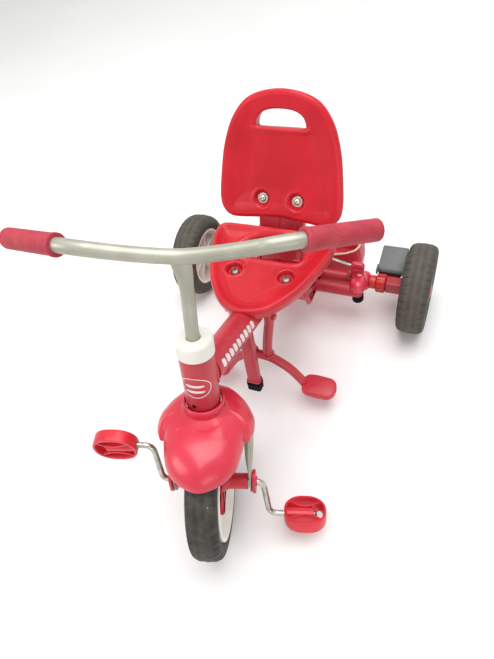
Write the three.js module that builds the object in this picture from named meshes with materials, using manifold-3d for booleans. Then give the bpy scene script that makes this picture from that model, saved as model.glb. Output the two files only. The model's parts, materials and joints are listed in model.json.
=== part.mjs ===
// A child's pedal tricycle, built as the real one is: painted steel tubes, moulded seat and
// backrest, rubber tyres on plastic rims, a bent crank driving the front wheel, and a footrest.
// Millimetres, +Z up, the front wheel towards -Y.

import * as THREE from 'three';
import { mergeVertices } from 'three/addons/utils/BufferGeometryUtils.js';
import Module from 'manifold-3d';

const wasm = await Module();
wasm.setup();

// ---------------------------------------------------------------- driving dimensions

const gap = 0.3; // between pieces that touch
const runningGap = 0.6; // between pieces that turn on each other
const roundSides = 20;
const smallSides = 12;
const degree = Math.PI / 180;

const wheelbase = 487;
const halfTrack = 239; // centre plane to the middle of a rear tyre

const frontTyre = { radius: 119, halfWidth: 23.3, bead: 91, beadHalf: 20, segments: 32 };
const rearTyre = { radius: 89.5, halfWidth: 27, bead: 62, beadHalf: 24, segments: 28 };

const headAngle = 15.4 * degree; // lean of the steering axis from upright
const forkRake = 24.7; // front axle ahead of the steering axis
const steerAtRest = 18 * degree; // bars stored turned
const turnedDrop = 0.6; // the wheel reaches this much lower when it is turned so far

const headTube = { radius: 24.5, bore: 21, bottom: 152, top: 262 };
const headCap = { wall: 1.4, skirt: 13, roof: 9.3, rounding: 4 };
const bush = { length: 15, flange: 2, flangeRadius: 24.2 };
const stem = { radius: 9, bore: 7.4, straightTop: 278, bendTop: 346, bendSet: 9,
  flatWidth: 13, flatDepth: 6 };

const handlebar = { radius: 9.5, bore: 8, height: 393.9, bendHalf: 126.4, bendSet: -9.6,
  bendRise: 21.7, gripHalf: 141.7, gripSet: -0.7, gripRise: 18.7, endHalf: 226.2, endSet: 48.5,
  endRise: 2.3, softening: 14 };
const grip = { radius: 14, lipRadius: 15.4, lipLength: 6, endWall: 4, rounding: 3 };

const forkTube = { halfSpread: 60.5, crownTop: 141, archHeight: 40, crownHalfHeight: 9,
  crownHalfDepth: 13, legHalfWidth: 7.6, legHalfDepth: 11.5, endHalfWidth: 2.4,
  endHalfDepth: 13, endDrop: 22, flatFrom: 30 };
const axleBearing = { thickness: 5, halfDepth: 13.5 };

const crank = { throw: 71.3, rod: 4.8, angle: 81.6 * degree, armStart: 80, armEnd: 86.5,
  spindleEnd: 167.5, softening: 13 };
const pedal = { inner: 111, length: 68, halfDepth: 32, halfHeight: 10, wall: 6, corner: 27,
  barrel: 8.8, barrelLength: 48, ribPlace: 15, rib: 3 };
const leftPedalTilt = 103 * degree;
const rightPedalTilt = -15 * degree;
const pedalNut = { radius: 7, length: 4.6 };

const hubStar = { points: 5, radius: 58, waist: 24, plate: 5, bossRadius: 12.5, bossEnd: 56 };
const frontRim = { halfWidth: 18, webHalf: 11, wellRadius: 77, lip: 3 };

const fender = { collarBore: 26.2, collarWall: 4, collarTop: 160.3, floor: 2.5, shoulder: 143,
  wall: 3, segments: 32 };

const mainTube = { radius: 23, bore: 20.5, slope: 20.8 * degree, passDepth: 223.7,
  passHeight: 250.5, end: 446 };

const seat = { front: 216, rear: 406, middle: 318, halfWidth: 109, floor: 274, crest: 282,
  rise: 5, skirtDrop: 17, draft: 0.955, wall: 3.4, segments: 34 };
const seatSlot = { front: 341, rear: 391, halfWidth: 60, corner: 13 };
const seatBolt = { half: 45.8, depth: 308.5, recess: 13.8, recessFloor: 264, wall: 3, neck: 8,
  head: 7.5, headHeight: 4.5, shank: 3.5, socket: 2.8 };
const seatBracket = { halfWidth: 60, front: 298, rear: 360, top: 250, plate: 3, saddleHalf: 28,
  tabHalf: 50, tabWidth: 12, tabInset: 9, tabRise: 18 };

const backrest = { lean: 23.4 * degree, depth: 428.1, height: 325.1, halfWidth: 110, top: 175,
  bottom: -38, arch: 7.5, middle: 68, thickness: 25, draft: 0.95, wall: 3.4, segments: 34 };
const handHole = { halfWidth: 42, bottom: 118, top: 146 };
const backBolt = { half: 31, recess: 14.2, recessDepth: 7.5, wall: 4.2, washer: 8.4,
  washerHeight: 1.4, head: 6.2, headHeight: 4.4, shank: 3, end: 4, socket: 2.4 };
const backBracket = { halfWidth: 38, plate: 4, side: 3, flange: 18, top: 20, bottom: -115 };

const axleTube = { radius: 14.5, bore: 12, end: 146 };
const standTube = { radius: 12, ahead: 41, height: 101, legHalf: 132, legRadius: 9.5, legTop: 122,
  foot: 82 };
const standCap = { wall: 1.4, sole: 3.5, height: 15 };
const rearCradle = { halfWidth: 46, wall: 3, rear: 512 };
const clamp = { inner: 107, outer: 146, radius: 20, lugInner: 111, lugOuter: 137,
  lugTop: 147, lugDepth: 478, lugThickness: 9, slotLength: 13, slotHeight: 7, socketWall: 5,
  socketBottom: 106, socketRoof: 4 };
const axleBush = { radius: 13.6, end: 159 };
const brakeCollar = { radius: 19, end: 179, lugInner: 166, lugOuter: 177 };
const endSleeve = { half: 13, corner: 4, end: 211 };
const rearAxle = { radius: 5, end: 258, flange: 9, flangeThickness: 2.6 };
const stayRod = { radius: 2.8, topDepth: 465, topHeight: 172, bend: 10, footDrop: 7 };

const rearRim = { wall: 5, webOuter: 14, web: 5, hubRadius: 13, hubInner: 22 };
const hubCap = { radius: 17, bore: 10, height: 12.7, wall: 6 };

// The brake pedal's depths and heights are measured from its pin.
const brakePedal = { inner: 160, outer: 206, front: -9, rear: 46, frontTop: 8.5, rearTop: 20,
  bottom: -4, wall: 3, edge: 9, pinClear: 8, pinRise: 12.5, pinRadius: 2.5, ear: 3.5,
  earReach: -22, lugDrop: 18 };

const post = { halfWidth: 11, halfDepth: 7.5, corner: 3, wall: 2, topDepth: 216,
  topHeight: 200, lean: 5.9 * degree, drop: 126.7 };
const postCap = { wall: 2, sole: 4, height: 22 };
const footrest = { tube: 8.6, depth: 249, horn: 12, straight: 12, waistHalf: 15.3,
  waist: 104, crossbar: 125, armHalf: 52, armDrop: 150, kneeHalf: 71, kneeDrop: 180, pin: 4,
  pinHead: 7, pinHeadHeight: 4 };
const footPad = { reach: 106.5, drop: 196, halfLength: 32, halfWidth: 22, halfThickness: 9,
  rounding: 3 };

const bag = { halfWidth: 121, depth: 78, rimMiddle: 116, rimCorner: 137, bottom: 62, wall: 2.5,
  segments: 28 };

// ---------------------------------------------------------------- materials

function finish(colour, roughness, metalness = 0) {
  return new THREE.MeshStandardMaterial({ color: colour, roughness, metalness });
}

const paints = {
  framePaint: finish(0xb8333c, 0.35),
  silverPaint: finish(0xa9a797, 0.4, 0.4),
  seatPlastic: finish(0xe0303c, 0.4),
  backPlastic: finish(0xd02a36, 0.4),
  fenderPlastic: finish(0xe23c4c, 0.18),
  redPlastic: finish(0xc8313b, 0.35),
  gripRubber: finish(0xcc4a55, 0.75),
  whitePlastic: finish(0xe9e7df, 0.45),
  tyreRubber: finish(0x45413a, 0.8),
  blackRubber: finish(0x17161a, 0.7),
  greyPlastic: finish(0xa7a9a3, 0.5),
  brightSteel: finish(0xc6c4b8, 0.25, 1),
  bagVinyl: finish(0xdb4350, 0.5),
};

// ---------------------------------------------------------------- solids

// A geometry with its corners merged, its empty faces dropped and its sides facing outwards.
function closed(geometry) {
  geometry.deleteAttribute('normal');
  geometry.deleteAttribute('uv');
  const merged = mergeVertices(geometry, 1e-3);
  const corners = merged.getIndex().array;
  const places = merged.getAttribute('position');
  const [a, b, c] = [new THREE.Vector3(), new THREE.Vector3(), new THREE.Vector3()];
  const kept = [];
  let volume = 0;
  for (let i = 0; i < corners.length; i += 3) {
    const [p, q, r] = corners.slice(i, i + 3);
    if (p === q || q === r || r === p) continue;
    kept.push(p, q, r);
    a.fromBufferAttribute(places, p);
    b.fromBufferAttribute(places, q);
    c.fromBufferAttribute(places, r);
    volume += a.dot(b.cross(c));
  }
  if (volume < 0) kept.reverse();
  merged.setIndex(kept);
  return merged;
}

function toSolid(geometry) {
  const merged = closed(geometry.clone());
  return new wasm.Manifold(new wasm.Mesh({
    numProp: 3,
    vertProperties: new Float32Array(merged.getAttribute('position').array),
    triVerts: new Uint32Array(merged.getIndex().array),
  }));
}

function fromSolid(solid) {
  const mesh = solid.getMesh();
  const geometry = new THREE.BufferGeometry();
  geometry.setAttribute('position', new THREE.BufferAttribute(mesh.vertProperties, 3));
  geometry.setIndex(new THREE.BufferAttribute(mesh.triVerts, 1));
  return geometry;
}

function join(first, ...others) {
  return fromSolid(others.reduce((sum, other) => sum.add(toSolid(other)), toSolid(first)));
}

function cut(body, ...tools) {
  return fromSolid(tools.reduce((rest, tool) => rest.subtract(toSolid(tool)), toSolid(body)));
}

// ---------------------------------------------------------------- shapes

// A box from its low corner to its high corner.
function block(low, high) {
  const size = high.map((value, i) => value - low[i]);
  return new THREE.BoxGeometry(...size)
    .translate(...low.map((value, i) => value + size[i] / 2));
}

// A turned solid: [radius, distance along the axis] pairs, spun round the named axis.
function turned(profile, axis = 'z', segments = roundSides) {
  const points = profile.map(([radius, along]) => new THREE.Vector2(radius, along));
  const geometry = new THREE.LatheGeometry(points, segments, Math.PI / segments);
  if (axis === 'x') geometry.rotateZ(-Math.PI / 2);
  if (axis === 'z') geometry.rotateX(Math.PI / 2);
  return closed(geometry);
}

function rod(radius, from, to, axis = 'z', segments = roundSides) {
  return turned([[0, from], [radius, from], [radius, to], [0, to]], axis, segments);
}

function pipe(radius, bore, from, to, axis = 'z', segments = roundSides) {
  const loop = [[bore, from], [radius, from], [radius, to], [bore, to], [bore, from]];
  return turned(loop, axis, segments);
}

// A round bar or pipe along a chain of points, mitred at each one.
function tube(points, radius, bore = 0, sides = smallSides) {
  const start = points[1].clone().sub(points[0]).normalize();
  const across = new THREE.Vector3(0, 0, 1).cross(start);
  if (across.length() < 0.1) across.set(1, 0, 0);
  across.normalize();
  const skins = (bore > 0 ? [radius, bore] : [radius]).map((size) => {
    let ring = angles(sides).map((turn) => across.clone().applyAxisAngle(start, turn)
      .multiplyScalar(size).add(points[0]));
    const rows = [ring];
    for (let i = 1; i < points.length; i += 1) {
      const along = points[i].clone().sub(points[i - 1]).normalize();
      const face = along.clone();
      if (i < points.length - 1) face.add(points[i + 1].clone().sub(points[i]).normalize());
      ring = ring.map((corner) => {
        const reach = points[i].clone().sub(corner).dot(face) / along.dot(face);
        return along.clone().multiplyScalar(reach).add(corner);
      });
      rows.push(ring);
    }
    return rows;
  });
  if (bore > 0) return skin([...skins[0], ...skins[1].reverse()], true);
  return skin(skins[0]);
}

// A chain of points whose inner corners are rounded off over the given reach.
function softened(points, reach, steps = 3) {
  const chain = [points[0]];
  for (let i = 1; i < points.length - 1; i += 1) {
    const from = points[i].clone().lerp(points[i - 1], reach / points[i].distanceTo(points[i - 1]));
    const to = points[i].clone().lerp(points[i + 1], reach / points[i].distanceTo(points[i + 1]));
    chain.push(...new THREE.QuadraticBezierCurve3(from, points[i], to).getPoints(steps));
  }
  chain.push(points[points.length - 1]);
  return chain;
}

// A closed outline that is alike on both sides: a smooth curve through points of its right half.
function mirrored(half, segments) {
  const right = half.map(([x, y]) => new THREE.Vector3(x, y, 0));
  const left = half.filter(([x]) => x > 0).reverse().map(([x, y]) => new THREE.Vector3(-x, y, 0));
  const curve = new THREE.CatmullRomCurve3([...right, ...left], true, 'catmullrom', 0.5);
  return curve.getSpacedPoints(segments).slice(0, segments);
}

// An outline in the Y-Z plane, given as [y, z] pairs, made thick along X.
function sidePlate(outline, from, to) {
  const shape = new THREE.Shape(outline.map(([y, z]) => new THREE.Vector2(y, z)));
  const geometry = new THREE.ExtrudeGeometry(shape, { depth: to - from, bevelEnabled: false });
  const turn = new THREE.Matrix4().makeBasis(
    new THREE.Vector3(0, 1, 0), new THREE.Vector3(0, 0, 1), new THREE.Vector3(1, 0, 0));
  return geometry.applyMatrix4(turn).translate(from, 0, 0);
}

// A flat outline in the X-Y plane made thick along Z.
function flatPlate(shape, from, to, curveSegments = 8) {
  const options = { depth: to - from, bevelEnabled: false, curveSegments };
  return new THREE.ExtrudeGeometry(shape, options).translate(0, 0, from);
}

// A skin over rows of points: each row runs round the piece, and the rows follow its wall.
// With loop the last row meets the first, and otherwise both end rows shrink to a point or a cap.
function skin(rows, loop = false) {
  const around = rows[0].length;
  const places = rows.flat().flatMap((point) => [point.x, point.y, point.z]);
  const faces = [];
  const last = loop ? rows.length : rows.length - 1;
  for (let i = 0; i < last; i += 1) {
    const next = (i + 1) % rows.length;
    for (let j = 0; j < around; j += 1) {
      const k = (j + 1) % around;
      const [a, b] = [i * around + j, i * around + k];
      const [c, d] = [next * around + j, next * around + k];
      faces.push(a, c, b, b, c, d);
    }
  }
  if (!loop) {
    for (const [row, flip] of [[0, false], [rows.length - 1, true]]) {
      const middle = rows[row].reduce((sum, p) => sum.add(p), new THREE.Vector3());
      middle.divideScalar(around);
      const tip = places.length / 3;
      places.push(middle.x, middle.y, middle.z);
      for (let j = 0; j < around; j += 1) {
        const [a, b] = [row * around + j, row * around + ((j + 1) % around)];
        faces.push(tip, ...(flip ? [b, a] : [a, b]));
      }
    }
  }
  const geometry = new THREE.BufferGeometry();
  geometry.setAttribute('position', new THREE.Float32BufferAttribute(places, 3));
  geometry.setIndex(faces);
  return closed(geometry);
}

function angles(count) {
  return Array.from({ length: count }, (_, i) => (i / count) * 2 * Math.PI);
}

// ---------------------------------------------------------------- the scene graph

const tricycle = new THREE.Group();

function piece(name, geometry, material, parent) {
  const mesh = new THREE.Mesh(closed(geometry), material);
  mesh.name = name;
  parent.add(mesh);
  return mesh;
}

function bothSides(name) {
  return [[-1, `${name}_left`], [1, `${name}_right`]];
}

function point(x, y, z) {
  return new THREE.Vector3(x, y, z);
}

// The head, fork and front wheel share the steering axis, which runs along this group's Z.
const steeringTilt = new THREE.Group();
steeringTilt.position.set(0, forkRake * Math.cos(headAngle),
  frontTyre.radius + turnedDrop - forkRake * Math.sin(headAngle));
steeringTilt.rotation.x = -headAngle;
tricycle.add(steeringTilt);

const steering = new THREE.Group();
steering.rotation.z = steerAtRest;
steeringTilt.add(steering);

const frontAxle = new THREE.Group();
frontAxle.position.y = -forkRake;
steering.add(frontAxle);

// ---------------------------------------------------------------- head tube and its bearings

const stemHole = stem.radius + runningGap;
const topFlange = headTube.top + gap + bush.flange;
const fenderFloorTop = forkTube.crownTop + gap + fender.floor;

function headCapShape() {
  const bore = headTube.radius + gap;
  const radius = bore + headCap.wall;
  const roof = topFlange + gap;
  const top = roof + headCap.roof;
  return turned([
    [bore, headTube.top - headCap.skirt], [radius, headTube.top - headCap.skirt],
    [radius, top - headCap.rounding], [radius - 0.3 * headCap.rounding, top - 0.3 * headCap.rounding],
    [radius - headCap.rounding, top], [stemHole, top], [stemHole, roof], [bore, roof],
    [bore, headTube.top - headCap.skirt],
  ]);
}

// A plastic bush: a sleeve inside the head tube, and a flange that takes the thrust.
function bushShape(sleeveEnd, flangeFrom, flangeTo) {
  const sleeve = headTube.bore - gap;
  return turned([
    [stemHole, sleeveEnd], [sleeve, sleeveEnd], [sleeve, flangeFrom],
    [bush.flangeRadius, flangeFrom], [bush.flangeRadius, flangeTo], [stemHole, flangeTo],
    [stemHole, sleeveEnd],
  ], 'z', smallSides);
}

piece('head_tube', pipe(headTube.radius, headTube.bore, headTube.bottom, headTube.top),
  paints.framePaint, steeringTilt);
piece('head_cap', headCapShape(), paints.whitePlastic, steeringTilt);
piece('bush_upper', bushShape(headTube.top - bush.length, headTube.top + gap, topFlange),
  paints.greyPlastic, steeringTilt);
piece('bush_lower', bushShape(headTube.bottom + bush.length, headTube.bottom - gap,
  fenderFloorTop + runningGap), paints.greyPlastic, steeringTilt);

// ---------------------------------------------------------------- fork outline

const archTop = forkTube.crownTop - forkTube.crownHalfHeight;
const legTop = archTop - forkTube.archHeight;
const axleHole = crank.rod + runningGap;

// Stations along the right half of the fork: place, half width in the arch, half depth.
function forkStations() {
  const arch = [0, 18, 36, 54, 72, 90].map((turn) => {
    const share = turn / 90;
    return {
      x: forkTube.halfSpread * Math.sin(turn * degree),
      y: -0.14 * forkRake * share,
      z: legTop + forkTube.archHeight * Math.cos(turn * degree),
      tilt: turn * degree,
      wide: THREE.MathUtils.lerp(forkTube.crownHalfHeight, forkTube.legHalfWidth, share),
      deep: THREE.MathUtils.lerp(forkTube.crownHalfDepth, forkTube.legHalfDepth, share),
    };
  });
  const leg = [0.42, 0.75, 1].map((share) => ({
    x: forkTube.halfSpread,
    y: -forkRake * THREE.MathUtils.lerp(0.14, 1, share),
    z: THREE.MathUtils.lerp(legTop, forkTube.flatFrom, share),
    tilt: Math.PI / 2,
    wide: THREE.MathUtils.lerp(forkTube.legHalfWidth, forkTube.endHalfWidth, share ** 2),
    deep: THREE.MathUtils.lerp(forkTube.legHalfDepth, forkTube.endHalfDepth, share),
  }));
  const tip = { ...leg[2], z: -forkTube.endDrop };
  return [...arch, ...leg, tip];
}

// One arched tube, flattened towards the ends of both legs.
function forkArch(grow = 0) {
  const right = forkStations();
  const left = right.slice(1).reverse().map((s) => ({ ...s, x: -s.x, tilt: -s.tilt }));
  return skin([...left, ...right].map((s) => angles(smallSides).map((turn) => {
    const out = (s.wide + grow) * Math.cos(turn);
    return point(s.x + out * Math.sin(s.tilt), s.y + (s.deep + grow) * Math.sin(turn),
      s.z + out * Math.cos(s.tilt));
  })));
}

// ---------------------------------------------------------------- handlebar, stem and grips

const barPath = softened([
  point(-handlebar.endHalf, handlebar.endSet, handlebar.endRise),
  point(-handlebar.bendHalf, handlebar.bendSet, handlebar.bendRise),
  point(0, 0, 0),
  point(handlebar.bendHalf, handlebar.bendSet, handlebar.bendRise),
  point(handlebar.endHalf, handlebar.endSet, handlebar.endRise),
], handlebar.softening, 2).map((place) => place.add(point(0, 0, handlebar.height)));

// A steel tube, straight in its bushes, cranked back above them and pressed flat at the bar.
function stemShape() {
  const top = handlebar.height;
  const stations = [
    { height: archTop, set: 0, flat: 0 },
    { height: stem.straightTop, set: 0, flat: 0 },
    { height: stem.bendTop, set: stem.bendSet, flat: 0.15 },
    { height: (stem.bendTop + top) / 2, set: 0.7 * stem.bendSet, flat: 0.8 },
    { height: top, set: 0, flat: 1 },
  ];
  const wall = stem.radius - stem.bore;
  const rows = (inset) => stations.map(({ height, set, flat }) => angles(16)
    .map((turn) => {
      const across = THREE.MathUtils.lerp(stem.radius, stem.flatWidth, flat) - inset;
      const deep = THREE.MathUtils.lerp(stem.radius, stem.flatDepth, flat) - inset;
      return point(across * Math.cos(turn), set + deep * Math.sin(turn), height);
    }));
  return cut(skin([...rows(0), ...rows(wall).reverse()], true), forkArch(gap),
    tube(barPath, handlebar.radius + gap));
}

// A rubber grip with a lip at its inner end and a closed outer end.
function gripShape(length) {
  const bore = handlebar.radius + gap;
  const floor = length - grip.endWall;
  return turned([
    [0, floor], [bore, floor], [bore, 0], [grip.lipRadius, 0], [grip.lipRadius, grip.lipLength],
    [grip.radius, grip.lipLength + 1], [grip.radius, length - grip.rounding],
    [grip.radius - grip.rounding, length], [0, length],
  ], 'z', 16);
}

const barEnd = point(handlebar.endHalf, handlebar.endSet, handlebar.endRise);
const gripStart = point(handlebar.gripHalf, handlebar.gripSet, handlebar.gripRise);
const gripLength = barEnd.distanceTo(gripStart) + grip.endWall + gap;

piece('handlebar', tube(barPath, handlebar.radius, handlebar.bore), paints.silverPaint,
  steering);
piece('stem', stemShape(), paints.silverPaint, steering);
for (const [side, name] of bothSides('grip')) {
  const along = barEnd.clone().sub(gripStart).normalize().multiply(point(side, 1, 1));
  const rubber = piece(name, gripShape(gripLength), paints.gripRubber, steering);
  rubber.quaternion.setFromUnitVectors(point(0, 0, 1), along);
  rubber.position.set(side * gripStart.x, gripStart.y, gripStart.z + handlebar.height);
}

// ---------------------------------------------------------------- fork and its bearings

function forkShape() {
  const hole = rod(axleHole, -forkTube.halfSpread - 10, forkTube.halfSpread + 10, 'x');
  return cut(forkArch(), hole.translate(0, -forkRake, 0));
}

// A flat end plate with round ends, bored for the crank.
function bearingShape(side) {
  const inner = forkTube.halfSpread + forkTube.endHalfWidth + gap;
  const straight = forkTube.endDrop - axleBearing.halfDepth;
  const outline = new THREE.Shape()
    .absarc(0, straight, axleBearing.halfDepth, 0, Math.PI)
    .absarc(0, -straight, axleBearing.halfDepth, Math.PI, 2 * Math.PI);
  const [from, to] = [side * inner, side * (inner + axleBearing.thickness)];
  const plate = sidePlate(outline.getPoints(5).map(({ x, y }) => [x, y]),
    Math.min(from, to), Math.max(from, to));
  return cut(plate, rod(axleHole, -2 * inner, 2 * inner, 'x'));
}

piece('fork', forkShape(), paints.silverPaint, steering);
for (const [side, name] of bothSides('axle_bearing')) {
  piece(name, bearingShape(side), paints.redPlastic, frontAxle);
}

// ---------------------------------------------------------------- front fender

// Right half of the fender's lower edge, from the nose to the back: x, y and height.
const fenderEdge = [
  [0, -113, 94], [30, -101, 96], [49, -80, 100], [57, -54, 105], [61, -37, 109],
  [71, -22, 110], [72, -6, 110], [68, 9, 110], [53, 33, 111], [30, 57, 113], [0, 64, 115],
];

function fenderOutline() {
  const right = fenderEdge.map(([x, y, z]) => point(x, y, z));
  const left = right.slice(1, -1).reverse().map((place) => place.clone().multiply(point(-1, 1, 1)));
  return new THREE.CatmullRomCurve3([...right, ...left], true, 'catmullrom', 0.5)
    .getSpacedPoints(fender.segments).slice(0, fender.segments);
}

function fenderShape() {
  const edge = fenderOutline();
  const collarRadius = fender.collarBore + fender.collarWall;
  const circle = (radius, height) => edge.map(({ x, y }) => {
    const size = Math.hypot(x, y);
    return point((x / size) * radius, (y / size) * radius, height);
  });
  const dome = (turn, inset) => edge.map(({ x, y, z }) => {
    const reach = Math.hypot(x, y) - inset;
    const radius = collarRadius + (reach - collarRadius) * Math.sin(turn * degree);
    const height = z + (fender.shoulder - inset - z) * Math.cos(turn * degree);
    return point((x * radius) / (reach + inset), (y * radius) / (reach + inset), height);
  });
  const turns = [14, 38, 64, 90];
  const floorBottom = fenderFloorTop - fender.floor;
  return skin([
    circle(stemHole, floorBottom), circle(fender.collarBore, floorBottom),
    ...turns.map((turn) => dome(turn, fender.wall)),
    ...turns.slice().reverse().map((turn) => dome(turn, 0)),
    circle(collarRadius, fender.shoulder), circle(collarRadius, fender.collarTop),
    circle(fender.collarBore, fender.collarTop), circle(fender.collarBore, fenderFloorTop),
    circle(stemHole, fenderFloorTop),
  ], true);
}

piece('fender', fenderShape(), paints.fenderPlastic, steering);

// ---------------------------------------------------------------- front wheel and crank

// A tyre section, symmetrical about the wheel's middle plane.
function tyreShape(tyre) {
  const depth = tyre.radius - tyre.bead;
  const half = [[0, tyre.beadHalf / tyre.halfWidth], [0.3, 1], [0.68, 0.97], [0.92, 0.72],
    [1, 0.36]];
  const section = half.map(([up, out]) => [tyre.bead + up * depth, out * tyre.halfWidth]);
  const mirror = section.slice().reverse().map(([radius, out]) => [radius, -out]);
  return turned([...section, ...mirror, section[0]], 'x', tyre.segments);
}

function frontRimShape() {
  const bore = crank.rod + gap;
  const outer = frontTyre.bead - gap;
  const half = [[bore, frontRim.webHalf], [frontRim.wellRadius, frontRim.webHalf],
    [frontRim.wellRadius + frontRim.lip, frontRim.halfWidth], [outer, frontRim.halfWidth]];
  const mirror = half.slice().reverse().map(([radius, out]) => [radius, -out]);
  return turned([...half, ...mirror, half[0]], 'x', frontTyre.segments);
}

// A star-shaped hub plate with a long boss, right-hand side.
function hubStarShape() {
  const count = hubStar.points * 2;
  const corners = Array.from({ length: count }, (_, i) => {
    const turn = (i / count) * 2 * Math.PI;
    const radius = i % 2 === 0 ? hubStar.radius : hubStar.waist;
    return [radius * Math.sin(turn), radius * Math.cos(turn)];
  });
  const inner = frontRim.webHalf + gap;
  const star = sidePlate(corners, inner, inner + hubStar.plate);
  const boss = rod(hubStar.bossRadius, inner, hubStar.bossEnd, 'x');
  return cut(join(star, boss), rod(crank.rod + gap, 0, 2 * hubStar.bossEnd, 'x'));
}

const crankOut = point(0, Math.cos(crank.angle), Math.sin(crank.angle)).multiplyScalar(crank.throw);
const crankPath = softened([
  point(-crank.spindleEnd, crankOut.y, crankOut.z),
  point(-crank.armEnd, crankOut.y, crankOut.z),
  point(-crank.armStart, 0, 0),
  point(crank.armStart, 0, 0),
  point(crank.armEnd, -crankOut.y, -crankOut.z),
  point(crank.spindleEnd, -crankOut.y, -crankOut.z),
], crank.softening);

piece('front_tyre', tyreShape(frontTyre), paints.tyreRubber, frontAxle);
piece('front_rim', frontRimShape(), paints.whitePlastic, frontAxle);
for (const [side, name] of bothSides('hub_star')) {
  const star = piece(name, hubStarShape(), paints.redPlastic, frontAxle);
  if (side < 0) star.rotation.z = Math.PI;
}
piece('crank', tube(crankPath, crank.rod, 0, 10), paints.brightSteel, frontAxle);

// ---------------------------------------------------------------- pedals

function roundedRectangle(halfLength, halfWidth, corner) {
  const [x, y] = [halfLength - corner, halfWidth - corner];
  return new THREE.Shape()
    .absarc(x, y, corner, 0, Math.PI / 2)
    .absarc(-x, y, corner, Math.PI / 2, Math.PI)
    .absarc(-x, -y, corner, Math.PI, 1.5 * Math.PI)
    .absarc(x, -y, corner, 1.5 * Math.PI, 2 * Math.PI);
}

// An open ring with a bored barrel that stops short of the outer wall, where the nut sits.
function pedalShape() {
  const half = pedal.length / 2;
  const opening = roundedRectangle(half - pedal.wall, pedal.halfDepth - pedal.wall,
    pedal.corner - pedal.wall);
  const ring = cut(
    flatPlate(roundedRectangle(half, pedal.halfDepth, pedal.corner), -pedal.halfHeight,
      pedal.halfHeight, 3),
    flatPlate(opening, -2 * pedal.halfHeight, 2 * pedal.halfHeight, 3));
  const ribEnd = half - pedal.wall / 2;
  const ribTop = pedal.barrel;
  const ribs = [-1, 1].map((side) => {
    const middle = side * pedal.ribPlace;
    return block([-ribEnd, middle - pedal.rib / 2, -ribTop], [ribEnd, middle + pedal.rib / 2, ribTop]);
  });
  const barrelEnd = pedal.barrelLength - half;
  const cross = block([barrelEnd - pedal.rib, -pedal.ribPlace, -ribTop],
    [barrelEnd, pedal.ribPlace, ribTop]);
  const barrel = rod(pedal.barrel, 0.1 - half, barrelEnd, 'x', smallSides);
  return cut(join(ring, barrel, cross, ...ribs),
    rod(crank.rod + runningGap, -pedal.length, barrelEnd + 1, 'x', smallSides));
}

for (const [side, name] of bothSides('pedal')) {
  const shape = pedalShape();
  if (side < 0) shape.scale(-1, 1, 1);
  const tread = piece(name, shape, paints.redPlastic, frontAxle);
  const middle = pedal.inner + pedal.length / 2;
  tread.position.set(side * middle, -side * crankOut.y, -side * crankOut.z);
  tread.rotation.x = side < 0 ? leftPedalTilt : rightPedalTilt;
}
for (const [side, name] of bothSides('pedal_nut')) {
  const inner = pedal.inner + pedal.barrelLength + runningGap;
  const nut = piece(name, pipe(pedalNut.radius, crank.rod + gap, inner, inner + pedalNut.length, 'x',
    smallSides), paints.brightSteel, frontAxle);
  nut.position.set(0, -side * crankOut.y, -side * crankOut.z);
  if (side < 0) nut.rotation.z = Math.PI;
}

// ---------------------------------------------------------------- main tube

const axleDepth = wheelbase;
const axleHeight = rearTyre.radius;
const tubeRun = point(0, Math.cos(mainTube.slope), -Math.sin(mainTube.slope));

// Height of the main tube's centre line at a given depth.
function tubeHeight(depth) {
  return mainTube.passHeight - (depth - mainTube.passDepth) * Math.tan(mainTube.slope);
}

function tubePoint(depth) {
  return point(0, depth, tubeHeight(depth));
}

// Where the main tube's centre line meets the steering axis.
const headAxis = point(0, Math.sin(headAngle), Math.cos(headAngle));
const meeting = (steeringTilt.position.z - tubeHeight(steeringTilt.position.y))
  / -(Math.tan(mainTube.slope) * headAxis.y + headAxis.z);
const tubeStart = steeringTilt.position.y + meeting * headAxis.y;

function alongTube(radius, end = mainTube.end + 1) {
  return tube([tubePoint(tubeStart), tubePoint(end)], radius, 0, roundSides);
}

function mainTubeShape() {
  const head = rod(headTube.radius + gap, headTube.bottom, headTube.top)
    .rotateX(-headAngle)
    .translate(...steeringTilt.position.toArray());
  const whole = tube([tubePoint(tubeStart), tubePoint(mainTube.end)], mainTube.radius,
    mainTube.bore, roundSides);
  const pivot = rod(footrest.pin + runningGap, -50, 50, 'x', smallSides)
    .translate(0, footrest.depth, tubeHeight(footrest.depth));
  return cut(whole, head, pivot);
}

piece('main_tube', mainTubeShape(), paints.framePaint, tricycle);

// ---------------------------------------------------------------- seat

// Rows of a shell: each station gives its share of the outline and its height there.
function shellRows(outline, centre, stations, height) {
  return stations.map(([share, level]) => outline.map((edge) => {
    const place = edge.clone().sub(centre).multiplyScalar(share).add(centre);
    return point(place.x, place.y, height(place, level));
  }));
}

const seatSkirt = seat.floor - seat.skirtDrop;

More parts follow.
